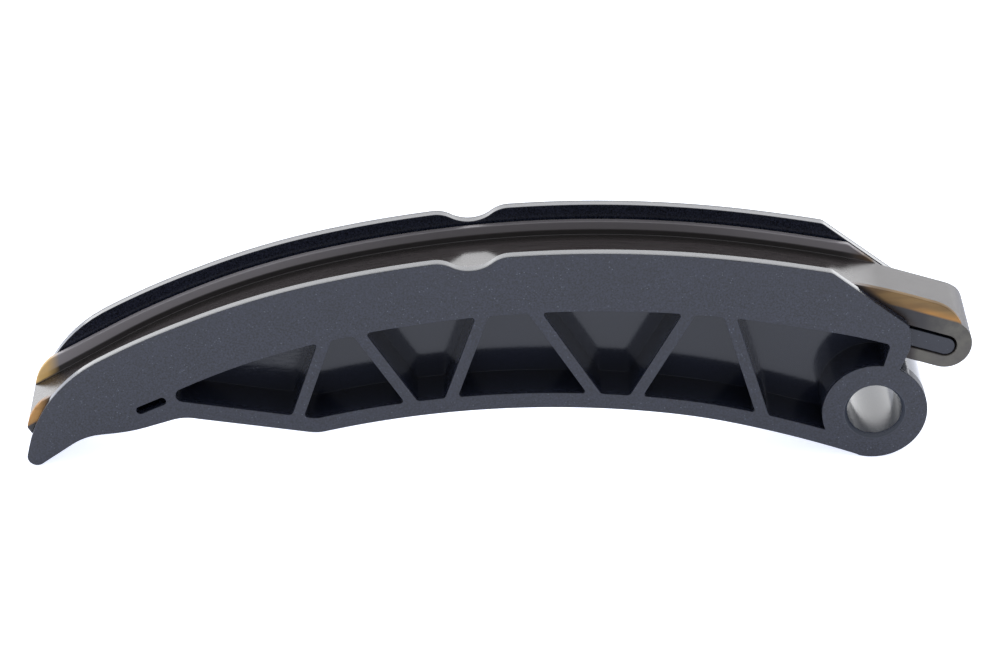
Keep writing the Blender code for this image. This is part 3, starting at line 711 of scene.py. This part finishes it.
# The round notch in a wall's top: the stations of its shoulders, and its points
def notchEdge():
    high = track["mainRadius"] + carrier["notchFloor"] + carrier["notchRadius"]
    low = track["mainRadius"] + carrier["wallHeight"] - carrier["notchShoulder"]
    join = carrier["notchRadius"] + carrier["notchShoulder"]
    half = math.acos((high ** 2 + low ** 2 - join ** 2) / (2 * high * low)) * track["mainRadius"]
    centre = runLine.at(carrier["notchStation"], carrier["notchFloor"] + carrier["notchRadius"])
    ends = (carrier["notchStation"] + half, carrier["notchStation"] - half)
    turns = [runLine.at(end, carrier["wallHeight"] - carrier["notchShoulder"]) for end in ends]
    leans = [math.atan2(centre.y - turn.y, centre.x - turn.x) for turn in turns]
    ups = [math.pi / 2 - end / track["mainRadius"] for end in ends]
    edge = arc(turns[0], carrier["notchShoulder"], ups[0], leans[0])
    edge += arc(centre, carrier["notchRadius"], leans[0] - math.pi, leans[1] - math.pi)[1:]
    edge += arc(turns[1], carrier["notchShoulder"], leans[1], ups[1])[1:]
    return ends, edge


# The round tip of the nose, from its front to its underside
def noseTipTurn():
    gap = Vector(carrier["heel"]) - Vector(carrier["noseTip"])
    climb = math.atan2(gap.y, gap.x) + math.asin(carrier["noseTipRound"] / gap.length)
    first = math.pi / 2 + carrier["noseFrontSlope"]
    return arc(carrier["noseTip"], carrier["noseTipRound"], first, 1.5 * math.pi + climb)


# Side view of the carrier, without the tongue, the pockets and the channel
def carrierOutline():
    boss = (carrier["bossX"], carrier["bossRadius"])
    archEnd = archLine.at(archLine.end)
    bossStart = math.atan2(archEnd.y - boss[1], archEnd.x - boss[0])
    bossTurn = arc(boss, carrier["bossRadius"], bossStart, -math.pi / 2)
    bossTurn += arc(boss, carrier["bossRadius"], -math.pi / 2, carrier["cheekFootAngle"])[1:]

    wallEnd = runLine.at(carrier["wallEndStation"], carrier["wallHeight"])
    cheekTop = crossing(wallEnd, -carrier["wallEndSlope"], (cheekX, 0.0), math.pi / 2)
    cheekLow = cheekTop - Vector((0.0, carrier["cheekFace"]))
    shoulders, notch = notchEdge()
    wallTop = runLine.run(carrier["wallEndStation"], shoulders[0], carrier["wallHeight"])[:-1] + notch
    wallTop += runLine.run(shoulders[1], wallNoseEnd, wallHeight)[1:]

    tip = noseTipTurn()
    noseSlope = fall(runLine.noseLegs, -noseEnd)[2]
    front = crossing(wallTop[-1], noseSlope, tip[0], carrier["noseFrontSlope"])

    outline = archLine.run(archLine.start, archLine.end)
    outline += bossTurn[1:]
    outline += rounded(bossTurn[-1], cheekLow, cheekTop, carrier["cheekRound"])
    outline += rounded(cheekLow, cheekTop, wallEnd, carrier["cheekRound"])
    outline += rounded(cheekTop, wallEnd, wallTop[1], carrier["wallEndRound"])
    outline += wallTop[1:-1]
    outline += rounded(wallTop[-1], front, tip[0], carrier["noseFrontRound"])
    outline += tip
    heel, belly, hollow = [Vector(carrier[name]) for name in ("heel", "belly", "hollow")]
    outline += rounded(tip[-1], heel, belly, carrier["heelRound"])
    outline += rounded(heel, belly, hollow, carrier["bellyRound"])
    outline += rounded(belly, hollow, outline[0], carrier["hollowRound"])
    return outline


# What is cleared between the walls: the liner's seat and the room for its hook's arm
def channelOutline():
    root = hookStation - liner["hookArmLength"] - carrier["armPocketEndClearance"]
    armFloor = -2 * liner["hookOuterRadius"] - carrier["armPocketClearance"]
    beyond = hookStation + liner["hookOuterRadius"] + cutMargin
    sky = carrier["wallHeight"] + cutMargin
    outline = runLine.run(noseEnd - cutMargin, root, lambda s: -linerThickness(s) - liner["seatGap"])
    outline += [runLine.at(root, armFloor), runLine.at(beyond, armFloor), runLine.at(beyond, sky)]
    outline += runLine.run(hookStation, noseEnd - cutMargin, sky)
    return outline


# The tongue that the liner hooks round, with a round end
def tongueOutline():
    end = hookStation + hookInnerRadius - tongueRadius - carrier["tongueTipClearance"]
    start = hookStation - liner["hookArmLength"] - carrier["tongueRootLength"]
    slope = fall(runLine.pivotLegs, hookStation)[2]
    top = runLine.run(start, end, tongueMiddle + tongueRadius)
    bottom = runLine.run(end, start, tongueMiddle - tongueRadius)
    up = math.pi / 2 - slope
    turn = arc(runLine.at(end, tongueMiddle), tongueRadius, up, up - math.pi)
    return top[:-1] + turn + bottom[1:]


# One flank of a rib, as a point on it and its direction upwards: -1 faces the nose and +1 faces the pivot
def ribSide(index, side):
    foot = Vector((carrier["ribFeet"][index], carrier["ribFootHeight"]))
    top = Vector((carrier["ribTops"][index], carrier["ribTopHeight"]))
    direction = (top - foot).normalized()
    out = Vector((direction.y, -direction.x))
    return foot + out * side * carrier["ribThickness"] / 2, direction


# Where a line meets the pockets' ceiling, and where it meets their floor
def onCeiling(start, direction, first=wallNoseEnd, last=hookStation):
    return meets(runLine, -carrier["ceilingDepth"], start, direction, first, last)


def onFloor(start, direction):
    return meets(archLine, carrier["flangeThickness"], start, direction, archLine.start, archLine.end)


# A closed outline whose corners at some places are rounded as in a pocket
def pocketOutline(points, places):
    corners = [(point, 0.0) for point in points]
    for place in places:
        corners[place] = (corners[place][0], carrier["pocketRound"])
    return roundedOutline(corners)


# A pocket between two ribs
def pocketBetween(index):
    left, right = ribSide(index, 1), ribSide(index + 1, -1)
    ceiling = runLine.run(onCeiling(*left), onCeiling(*right), -carrier["ceilingDepth"])
    floor = archLine.run(onFloor(*right), onFloor(*left), carrier["flangeThickness"])
    return pocketOutline(ceiling + floor, (0, len(ceiling) - 1, len(ceiling), -1))


# The long pocket that runs out to a point towards the nose
def firstPocket():
    right, rise = ribSide(0, -1)
    tip = Vector(carrier["firstPocketTip"])
    last = onCeiling(right, rise)
    first = onCeiling(tip, Vector((0.0, 1.0)), last=last)
    ceiling = runLine.run(first + carrier["firstPocketRound"], last, -carrier["ceilingDepth"])
    floorHeading = -carrier["firstPocketSlope"]
    foot = crossing(tip, floorHeading, right, math.atan2(rise.y, rise.x))
    point = crossing(tip, floorHeading, ceiling[0], math.atan2(*(ceiling[1] - ceiling[0]).yx))
    corners = [(point, carrier["firstPocketRound"])] + [(place, 0.0) for place in ceiling[1:-1]]
    corners += [(ceiling[-1], carrier["pocketRound"]), (foot, carrier["pocketRound"])]
    return roundedOutline(corners)


# The pocket that wraps over the boss
def lastPocket():
    left, rise = ribSide(len(carrier["ribTops"]) - 1, 1)
    radius = carrier["bossRadius"]
    boss = Vector((carrier["bossX"], radius))
    wall = Vector((cheekX - carrier["lastPocketWall"], track["crestHeight"] / 2))
    wallRise = Vector((math.sin(carrier["lastPocketLean"]), math.cos(carrier["lastPocketLean"])))
    first = onCeiling(left, rise)
    wall += wallRise * (runLine.at(hookStation - track["hookLength"], -carrier["ceilingDepth"]).y - wall.y)
    last = onCeiling(wall, wallRise, first=first)
    deepening = (carrier["lastCeilingDepth"] - carrier["ceilingDepth"]) / (last - first)
    ceiling = runLine.run(first, last, lambda s: -carrier["ceilingDepth"] - deepening * (s - first))

    gap = boss - ceiling[-1]
    across = gap.cross(wallRise)
    bossTop = ceiling[-1] + wallRise * (gap.dot(wallRise) + math.sqrt(radius ** 2 - across ** 2)) - boss
    flange = carrier["flangeThickness"]
    meeting = signChange(lambda s: (archLine.at(s, flange) - boss).length - radius, 0.0, archLine.end)
    bossFoot = archLine.at(meeting, flange) - boss
    footAngle = math.atan2(bossFoot.y, bossFoot.x) % (2 * math.pi)
    bossTurn = arc(boss, radius, math.atan2(bossTop.y, bossTop.x), footAngle)
    floor = archLine.run(meeting, onFloor(left, rise), flange)
    return pocketOutline(ceiling + bossTurn + floor[1:], (0, len(ceiling) - 1, -1))


# The small slot behind the nose, with round ends
def slotOutline():
    start = Vector(carrier["slotStart"])
    end = Vector(carrier["slotEnd"])
    lean = math.atan2(end.y - start.y, end.x - start.x)
    radius = carrier["slotWidth"] / 2
    turn = arc(start, radius, lean + math.pi / 2, lean + 3 * math.pi / 2)
    return turn + arc(end, radius, lean - math.pi / 2, lean + math.pi / 2)


# A tree's ending: instances made real, in their material
def dressed(tree, grown, plastic, made):
    real = add(tree, "GeometryNodeRealizeInstances", {"Geometry": grown})[0]
    done = add(tree, "GeometryNodeSetMaterial", {"Geometry": real, "Material": plastic})[0]
    tree.links.new(done, made["Geometry"])


# A tree that fills side-view outlines and gives them a thickness across the guide
def plateTree():
    inputs = (("Outline", "Object"), ("Low", "Float"), ("High", "Float"))
    tree, given, made = newTree("outlinePlate", inputs)
    seen = add(tree, "GeometryNodeObjectInfo", {"Object": given["Outline"]})["Geometry"]
    curve = add(tree, "GeometryNodeMeshToCurve", {"Mesh": seen})["Curve"]
    face = add(tree, "GeometryNodeFillCurve", {"Curve": curve}, mode="NGONS")["Mesh"]
    start = add(tree, "ShaderNodeCombineXYZ", {"Z": given["Low"]})[0]
    face = add(tree, "GeometryNodeTransform", {"Geometry": face, "Translation": start})[0]
    up = add(tree, "ShaderNodeCombineXYZ", {"Z": 1.0})[0]
    depth = minus(tree, given["High"], given["Low"])
    pushed = {"Mesh": face, "Offset": up, "Offset Scale": depth, "Individual": False}
    sides = add(tree, "GeometryNodeExtrudeMesh", pushed)["Mesh"]
    floor = add(tree, "GeometryNodeFlipFaces", {"Mesh": face})[0]
    both = add(tree, "GeometryNodeJoinGeometry", {"Geometry": [sides, floor]})[0]
    solid = add(tree, "GeometryNodeMergeByDistance", {"Geometry": both, "Distance": weldDistance})[0]
    tree.links.new(solid, made["Geometry"])
    return tree


# The carrier's rule: a plate, cleared between its walls, with a tongue, two rows of pockets and a bore
def carrierTree():
    plate = plateTree()
    objects = [(label, "Object") for label in ("Side View", "Channel", "Tongue", "Pockets")]
    sizes = ("Half Width", "Channel Half", "Tongue Half", "Web Half", "Past The Side",
             "Bore Radius", "Chamfer Width", "Chamfer Depth", "Boss X", "Boss Z")
    inputs = objects + [(label, "Float") for label in sizes] + [("Plastic", "Material")]
    tree, given, made = newTree("trussBeam", inputs)

    def plateOf(label, low, high):
        inside = {"Outline": given[label], "Low": low, "High": high}
        return add(tree, "GeometryNodeGroup", inside, node_tree=plate)["Geometry"]

    def back(value):  # the same place on the other side
        return times(tree, value, -1.0)

    def cone(foot, low, top, high):  # a cutter about the pivot axis
        depth = minus(tree, high, low)
        place = add(tree, "ShaderNodeCombineXYZ", {"X": given["Boss X"], "Y": given["Boss Z"], "Z": low})[0]
        sizes = {"Vertices": carrier["boreSides"], "Radius Top": top, "Radius Bottom": foot, "Depth": depth}
        turned = add(tree, "GeometryNodeMeshCone", sizes)["Mesh"]
        return add(tree, "GeometryNodeTransform", {"Geometry": turned, "Translation": place})[0]

    def boolean(operation, first, others):
        tools = {"Mesh 1": first, "Mesh 2": others} if first else {"Mesh 2": others}
        return add(tree, "GeometryNodeMeshBoolean", tools, operation=operation, solver="EXACT")["Mesh"]

    wide = plus(tree, given["Half Width"], given["Past The Side"])
    side = plateOf("Side View", back(given["Half Width"]), given["Half Width"])
    channel = plateOf("Channel", back(given["Channel Half"]), given["Channel Half"])
    trough = boolean("DIFFERENCE", side, [channel])
    tongue = plateOf("Tongue", back(given["Tongue Half"]), given["Tongue Half"])
    joined = boolean("UNION", None, [trough, tongue])
    nearRow = plateOf("Pockets", given["Web Half"], wide)
    farRow = plateOf("Pockets", back(wide), back(given["Web Half"]))
    radius = given["Bore Radius"]
    mouth = calculate(tree, "MULTIPLY_ADD", given["Chamfer Width"], 2.0, radius)
    inner = minus(tree, given["Half Width"], given["Chamfer Depth"])
    outer = plus(tree, given["Half Width"], given["Chamfer Depth"])
    bore = cone(radius, back(wide), radius, wide)
    nearMouth = cone(radius, inner, mouth, outer)
    farMouth = cone(mouth, back(outer), radius, back(inner))
    cut = boolean("DIFFERENCE", joined, [nearRow, farRow, bore, nearMouth, farMouth])
    upright = {"Geometry": cut, "Rotation": (math.pi / 2, 0.0, 0.0)}
    dressed(tree, add(tree, "GeometryNodeTransform", upright)[0], given["Plastic"], made)
    return tree


def makeCarrier():
    pockets = [firstPocket(), slotOutline(), lastPocket()]
    pockets += [pocketBetween(index) for index in range(len(carrier["ribTops"]) - 1)]
    guides = {
        "Side View": guide("sideView", [carrierOutline()]),
        "Channel": guide("channelView", [channelOutline()]),
        "Tongue": guide("tongueView", [tongueOutline()]),
        "Pockets": guide("pocketView", pockets),
    }
    beam = guide("carrierBeam", [])
    growWith(beam, carrierTree(), {
        **guides,
        "Half Width": halfWidth,
        "Channel Half": channelHalf,
        "Tongue Half": channelHalf - carrier["tongueSideClearance"],
        "Web Half": carrier["webThickness"] / 2,
        "Past The Side": cutMargin,
        "Bore Radius": carrier["boreDiameter"] / 2,
        "Chamfer Width": carrier["chamferWidth"],
        "Chamfer Depth": carrier["chamferDepth"],
        "Boss X": carrier["bossX"],
        "Boss Z": carrier["bossRadius"],
        "Plastic": glassFilledNylon(),
    })
    beam = tidied(baked("carrierBeam", beam))
    for tool in guides.values():
        bpy.data.objects.remove(tool)
    markEdges(beam, carrier["sharpEdge"], carrier["innerRoundShare"])
    edges = beam.modifiers.new("mouldedEdges", "BEVEL")  # the small rounds a mould leaves
    edges.width = carrier["edgeRound"]
    edges.segments = carrier["roundSegments"]
    edges.limit_method = "WEIGHT"
    edges.use_clamp_overlap = False
    edges.miter_outer = "MITER_ARC"
    flats = beam.modifiers.new("flatFaces", "WEIGHTED_NORMAL")
    flats.weight = carrier["flatWeight"]
    beam = baked("carrierBeam", beam)
    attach(beam, "root")
    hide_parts("carrier")


makeCarrier()
print("carrier beam made")


# How far a lip stands above the running line, which its two round ends limit
def lipRise(station):
    lean = Vector((liner["lipNoseLean"], liner["lipNoseHeight"]))
    half = (math.pi - math.atan2(lean.y, lean.x)) / 2
    noseTop = noseEnd + lean.x + liner["lipNoseRound"] / math.tan(half)
    rise = lipHeight(station)
    for beyond, radius, height in (
        (noseTop - station, liner["lipNoseRound"], liner["lipNoseHeight"]),
        (station - lipHookTop, liner["lipHookRound"], liner["lipHeight"]),
    ):
        if beyond > 0:
            rise = min(rise, height - radius + math.sqrt(max(0.0, radius ** 2 - beyond ** 2)))
    return max(0.0, rise)


# A place on the running line and the direction square to it
def squareTo(station):
    here = runLine.at(station)
    return here, (runLine.at(station, 1.0) - here).normalized()


# The far lip is also cut off along the slope where the walls end, down to a small step
def farLipRise(station):
    wallEnd = runLine.at(carrier["wallEndStation"], carrier["wallHeight"])
    fallLine = Vector((math.cos(carrier["wallEndSlope"]), -math.sin(carrier["wallEndSlope"])))
    here, out = squareTo(station)
    along = Vector((out.y, -out.x))
    reach = (here - wallEnd).dot(along) / fallLine.dot(along)
    height = (wallEnd + fallLine * reach - here).dot(out)
    return max(-liner["farEdgeStep"], min(lipRise(station), height))


# On the hook the far edge's step runs out into the round end by a tangent arc
def farEdgeDrop(turn):
    outer, small = liner["hookOuterRadius"], liner["farEdgeRound"]
    flat = outer - liner["farEdgeStep"]
    middle = Vector((math.sqrt((outer - small) ** 2 - (flat - small) ** 2), flat - small))
    if turn < math.atan2(middle.x, flat):
        return flat / math.cos(turn) - outer
    if turn < math.atan2(middle.x, middle.y):
        return farthest(middle, Vector((math.sin(turn), math.cos(turn))), small) - outer
    return 0.0


# The line the liner's section follows: the running line, round the hook and back along its arm
def linerRows():
    noseFine = noseEnd + liner["noseFineLength"]
    stations = stepsBetween(noseEnd, noseFine, liner["noseStep"])
    stations += runLine.stations(noseFine, carrier["wallEndStation"])[1:]
    stations += stepsBetween(carrier["wallEndStation"], hookStation, liner["hookStep"])[1:]
    rows = []
    for station in stations:
        here, out = squareTo(station)
        rows.append((here, out, linerThickness(station), lipRise(station), farLipRise(station), 0.0))
    outer = liner["hookOuterRadius"]
    centre = runLine.at(hookStation, -outer)
    room = runLine.at(hookStation, hookRoomMiddle)
    up = squareTo(hookStation)[1]
    along = Vector((up.y, -up.x))
    lipCentre = runLine.at(hookStation, liner["lipHeight"] - liner["lipHookRound"])
    lipCentre += along * (lipHookTop - hookStation)
    for turn in stepsBetween(0.0, math.pi, liner["hookTurn"])[1:]:
        out = up * math.cos(turn) + along * math.sin(turn)
        inner = farthest(room - centre, out, hookInnerRadius)
        lip = max(0.0, farthest(lipCentre - centre, out, liner["lipHookRound"]) - outer)
        lip = lip if turn < 1.0 else 0.0
        rows.append((centre + out * outer, out, outer - inner, lip, farEdgeDrop(turn), turn / math.pi))
    for reach in stepsBetween(0.0, liner["hookArmLength"], liner["armStep"])[1:]:
        here = centre - up * outer - along * reach
        rows.append((here, -up, liner["hookArmThickness"], 0.0, 0.0, 1.0))
    return rows


# How far a circle reaches from the origin in a direction
def farthest(centre, direction, radius):
    ahead = centre.dot(direction)
    return ahead + math.sqrt(max(0.0, radius ** 2 - centre.cross(direction) ** 2))


# The liner's section, as points with what moves them: thickness, near lip, far lip and small rounds
def linerSection():
    small, crease = liner["edgeRound"], liner["creaseRound"]
    inner = linerHalf - liner["lipThickness"]
    quarter = stepsBetween(0.0, math.pi / 2, liner["roundTurn"])
    half = []  # from the middle of the floor out over a lip and down to the underside
    for share in (0.0, 0.25, 0.5, 0.75):
        half.append((share * (inner - crease), 0.0, 0.0, 0.0, 0.0))
    for turn in quarter:
        rise = crease * (1 - math.cos(turn))
        half.append((inner - crease * (1 - math.sin(turn)), 0.0, 0.0, 0.0, rise))
    for turn in quarter:
        drop = small * (math.sin(turn) - 1)
        half.append((inner + small * (1 - math.cos(turn)), 0.0, 1.0, 0.0, drop))
    for turn in quarter:
        drop = small * (math.cos(turn) - 1)
        half.append((linerHalf - small * (1 - math.sin(turn)), 0.0, 1.0, drop, 0.0))
    for turn in quarter:
        half.append((linerHalf - small * (1 - math.cos(turn)), 1.0, 0.0, small * (1 - math.sin(turn)), 0.0))
    half.append((0.5 * inner, 1.0, 0.0, 0.0, 0.0))
    far = [(y, under, 0.0, lip, always, lipOnly) for y, under, lip, always, lipOnly in half]
    near = [(-y, under, lip, 0.0, always, lipOnly) for y, under, lip, always, lipOnly in half[1:]]
    return far + near[::-1]


# The liner's rule: each point of the section is carried along the rows
def linerTree():
    inputs = (("Rows", "Object"), ("Section", "Object"), ("Row Count", "Int"), ("Section Count", "Int"),
              ("Lip Fade", "Float"), ("Plastic", "Material"))
    tree, given, made = newTree("followedSection", inputs)
    columns = plus(tree, given["Section Count"], 1.0)
    size = {"Vertices X": given["Row Count"], "Vertices Y": columns}
    grid = add(tree, "GeometryNodeMeshGrid", size)["Mesh"]
    index = add(tree, "GeometryNodeInputIndex", {})[0]
    row = calculate(tree, "FLOOR", calculate(tree, "DIVIDE", index, columns))
    column = minus(tree, index, times(tree, row, columns))
    column = calculate(tree, "MODULO", column, given["Section Count"])
    rows = add(tree, "GeometryNodeObjectInfo", {"Object": given["Rows"]})["Geometry"]
    section = add(tree, "GeometryNodeObjectInfo", {"Object": given["Section"]})["Geometry"]

    def sampled(source, place, kind, value):
        inputs = {"Geometry": source, "Index": place, "Value": value}
        return add(tree, "GeometryNodeSampleIndex", inputs, data_type=kind)["Value"]

    def named(label, kind="FLOAT"):
        return add(tree, "GeometryNodeInputNamedAttribute", {"Name": label}, data_type=kind)["Attribute"]

    def rowValue(label):
        return sampled(rows, row, "FLOAT", named(label))

    def pointValue(label):
        return sampled(section, column, "FLOAT", named(label))

    position = add(tree, "GeometryNodeInputPosition", {})[0]
    here = sampled(rows, row, "FLOAT_VECTOR", position)
    out = sampled(rows, row, "FLOAT_VECTOR", named("outward", "FLOAT_VECTOR"))
    across = sampled(section, column, "FLOAT_VECTOR", position)
    nearPart = times(tree, pointValue("nearLip"), rowValue("nearRise"))
    farPart = times(tree, pointValue("farLip"), rowValue("farRise"))
    under = times(tree, pointValue("under"), rowValue("thickness"))
    height = minus(tree, plus(tree, nearPart, farPart), under)
    height = plus(tree, height, pointValue("always"))
    y = add(tree, "ShaderNodeSeparateXYZ", {0: across})["X"]
    farSide = calculate(tree, "GREATER_THAN", y, 0.0)
    rises = {"Switch": farSide, "False": rowValue("nearRise"), "True": rowValue("farRise")}
    lip = add(tree, "GeometryNodeSwitch", rises, input_type="FLOAT")[0]
    fade = ramp(tree, lip, times(tree, given["Lip Fade"], -1.0), given["Lip Fade"], -1.0, 1.0)
    height = plus(tree, height, times(tree, pointValue("lipOnly"), fade))
    share = rowValue("open")  # a closed end's rows gather at the middle of its thickness
    height = times(tree, height, share)
    closing = times(tree, rowValue("thickness"), minus(tree, 1.0, share))
    height = minus(tree, height, times(tree, closing, 0.5))
    lifted = add(tree, "ShaderNodeVectorMath", {0: out, "Scale": height}, operation="SCALE")[0]
    sideways = add(tree, "ShaderNodeCombineXYZ", {"Y": times(tree, y, share)})[0]
    place = add(tree, "ShaderNodeVectorMath", {0: here, 1: lifted}, operation="ADD")[0]
    place = add(tree, "ShaderNodeVectorMath", {0: place, 1: sideways}, operation="ADD")[0]
    # The finish reads how far a point stands above the running line, and how far round the hook it is
    kept = grid
    for label, value in (("above", height), ("turned", rowValue("turned"))):
        inputs = {"Geometry": kept, "Name": label, "Value": value}
        kept = add(tree, "GeometryNodeStoreNamedAttribute", inputs, data_type="FLOAT", domain="POINT")[0]
    moved = add(tree, "GeometryNodeSetPosition", {"Geometry": kept, "Position": place})[0]
    welded = add(tree, "GeometryNodeMergeByDistance", {"Geometry": moved, "Distance": 2 * weldDistance})[0]
    dressed(tree, welded, given["Plastic"], made)
    return tree


def makeLiner():
    rows = linerRows()
    rows = [rows[0]] * 2 + rows + [rows[-1]] * 2
    inset = liner["endInset"]
    section = linerSection()
    rowValues = {
        "outward": [Vector((out.x, 0.0, out.y)) for here, out, *others in rows],
        "open": [0.0, inset] + [1.0] * (len(rows) - 4) + [inset, 0.0],
    }
    for place, label in enumerate(("thickness", "nearRise", "farRise", "turned"), 2):
        rowValues[label] = [row[place] for row in rows]
    pointValues = {}
    for place, label in enumerate(("under", "nearLip", "farLip", "always", "lipOnly"), 1):
        pointValues[label] = [point[place] for point in section]
    rowPlaces = [(here.x, 0.0, here.y) for here, *others in rows]
    guides = {
        "Rows": guide("linerRows", [rowPlaces], rowValues, closed=False),
        "Section": guide("linerSection", [[(point[0], 0.0) for point in section]], pointValues),
    }
    strip = guide("slideLiner", [])
    growWith(strip, linerTree(), {
        **guides,
        "Row Count": len(rows),
        "Section Count": len(section),
        "Lip Fade": liner["lipFade"],
        "Plastic": slideNylon(),
    })
    strip = tidied(baked("slideLiner", strip), flat=0.0)
    for tool in guides.values():
        bpy.data.objects.remove(tool)
    flats = strip.modifiers.new("flatFaces", "WEIGHTED_NORMAL")
    flats.weight = liner["flatWeight"]
    strip = baked("slideLiner", strip)
    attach(strip, "root")
    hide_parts("slide_liner")


makeLiner()
print("slide liner made")


studio = {
    "cameraPlace": (-9.174 * mm, -803.985 * mm, 484.036 * mm),
    "cameraRight": (0.99988282, -0.01473655, -0.00414539),
    "cameraUp": (0.01086431, 0.49232115, 0.87034582),
    "lens": 131.4,
    "sensorWidth": 36.0,
    "clip": (0.05, 50.0),
    "sky": 0.9,
    "skyTone": (0.96, 0.99, 1.06, 1.0),
    "backLight": 58.0,
    "backSize": (3.2, 1.7),
    "backPlace": (0.0, 1.7, 0.88),
    "backAim": (0.0, 0.0, 0.88),
    "floorReach": 4.0,
    "floorTone": 0.84,
    "floorRoughness": 0.9,
    "floorTint": (0.92, 0.97, 1.15, 1.0),
    "floorGlow": 0.8,
}


def makeFloor():
    mesh = bpy.data.meshes.new("studioFloor")
    reach = studio["floorReach"]
    corners = [(-reach, -reach, 0.0), (reach, -reach, 0.0), (reach, reach, 0.0), (-reach, reach, 0.0)]
    mesh.from_pydata(corners, [], [(0, 1, 2, 3)])
    floor = placed("studioFloor", mesh)
    tone = studio["floorTone"]
    paper = {
        "Base Color": (tone, tone, tone, 1.0),
        "Roughness": studio["floorRoughness"],
        "Emission Color": studio["floorTint"],
        "Emission Strength": studio["floorGlow"],
    }
    mesh.materials.append(newMaterial("palePaper", paper)[0])


def makeLight(name, place, aim, size, power):
    light = bpy.data.lights.new(name, "AREA")
    light.shape = "RECTANGLE"
    light.size, light.size_y = size
    light.energy = power
    lamp = placed(name, light)
    lamp.location = place
    lamp.rotation_euler = (Vector(aim) - Vector(place)).to_track_quat("-Z", "Y").to_euler()
    lamp.visible_camera = False


def makeCamera():
    right, up = Vector(studio["cameraRight"]), Vector(studio["cameraUp"])
    back = right.cross(up)
    turn = Matrix((right, up, back)).transposed().to_4x4()
    lens = bpy.data.cameras.new("photoCamera")
    lens.lens = studio["lens"]
    lens.sensor_width = studio["sensorWidth"]
    lens.sensor_fit = "HORIZONTAL"
    lens.clip_start, lens.clip_end = studio["clip"]
    camera = placed("photoCamera", lens)
    camera.matrix_world = Matrix.Translation(studio["cameraPlace"]) @ turn
    bpy.context.scene.camera = camera


scene = bpy.context.scene
scene.view_settings.view_transform = "Standard"
world = bpy.data.worlds.new("studioSky")
world.use_nodes = True
sky = world.node_tree.nodes["Background"].inputs
sky["Color"].default_value = studio["skyTone"]
sky["Strength"].default_value = studio["sky"]
scene.world = world
makeFloor()
makeLight("backSoftbox", studio["backPlace"], studio["backAim"], studio["backSize"], studio["backLight"])
makeCamera()
print("studio made")
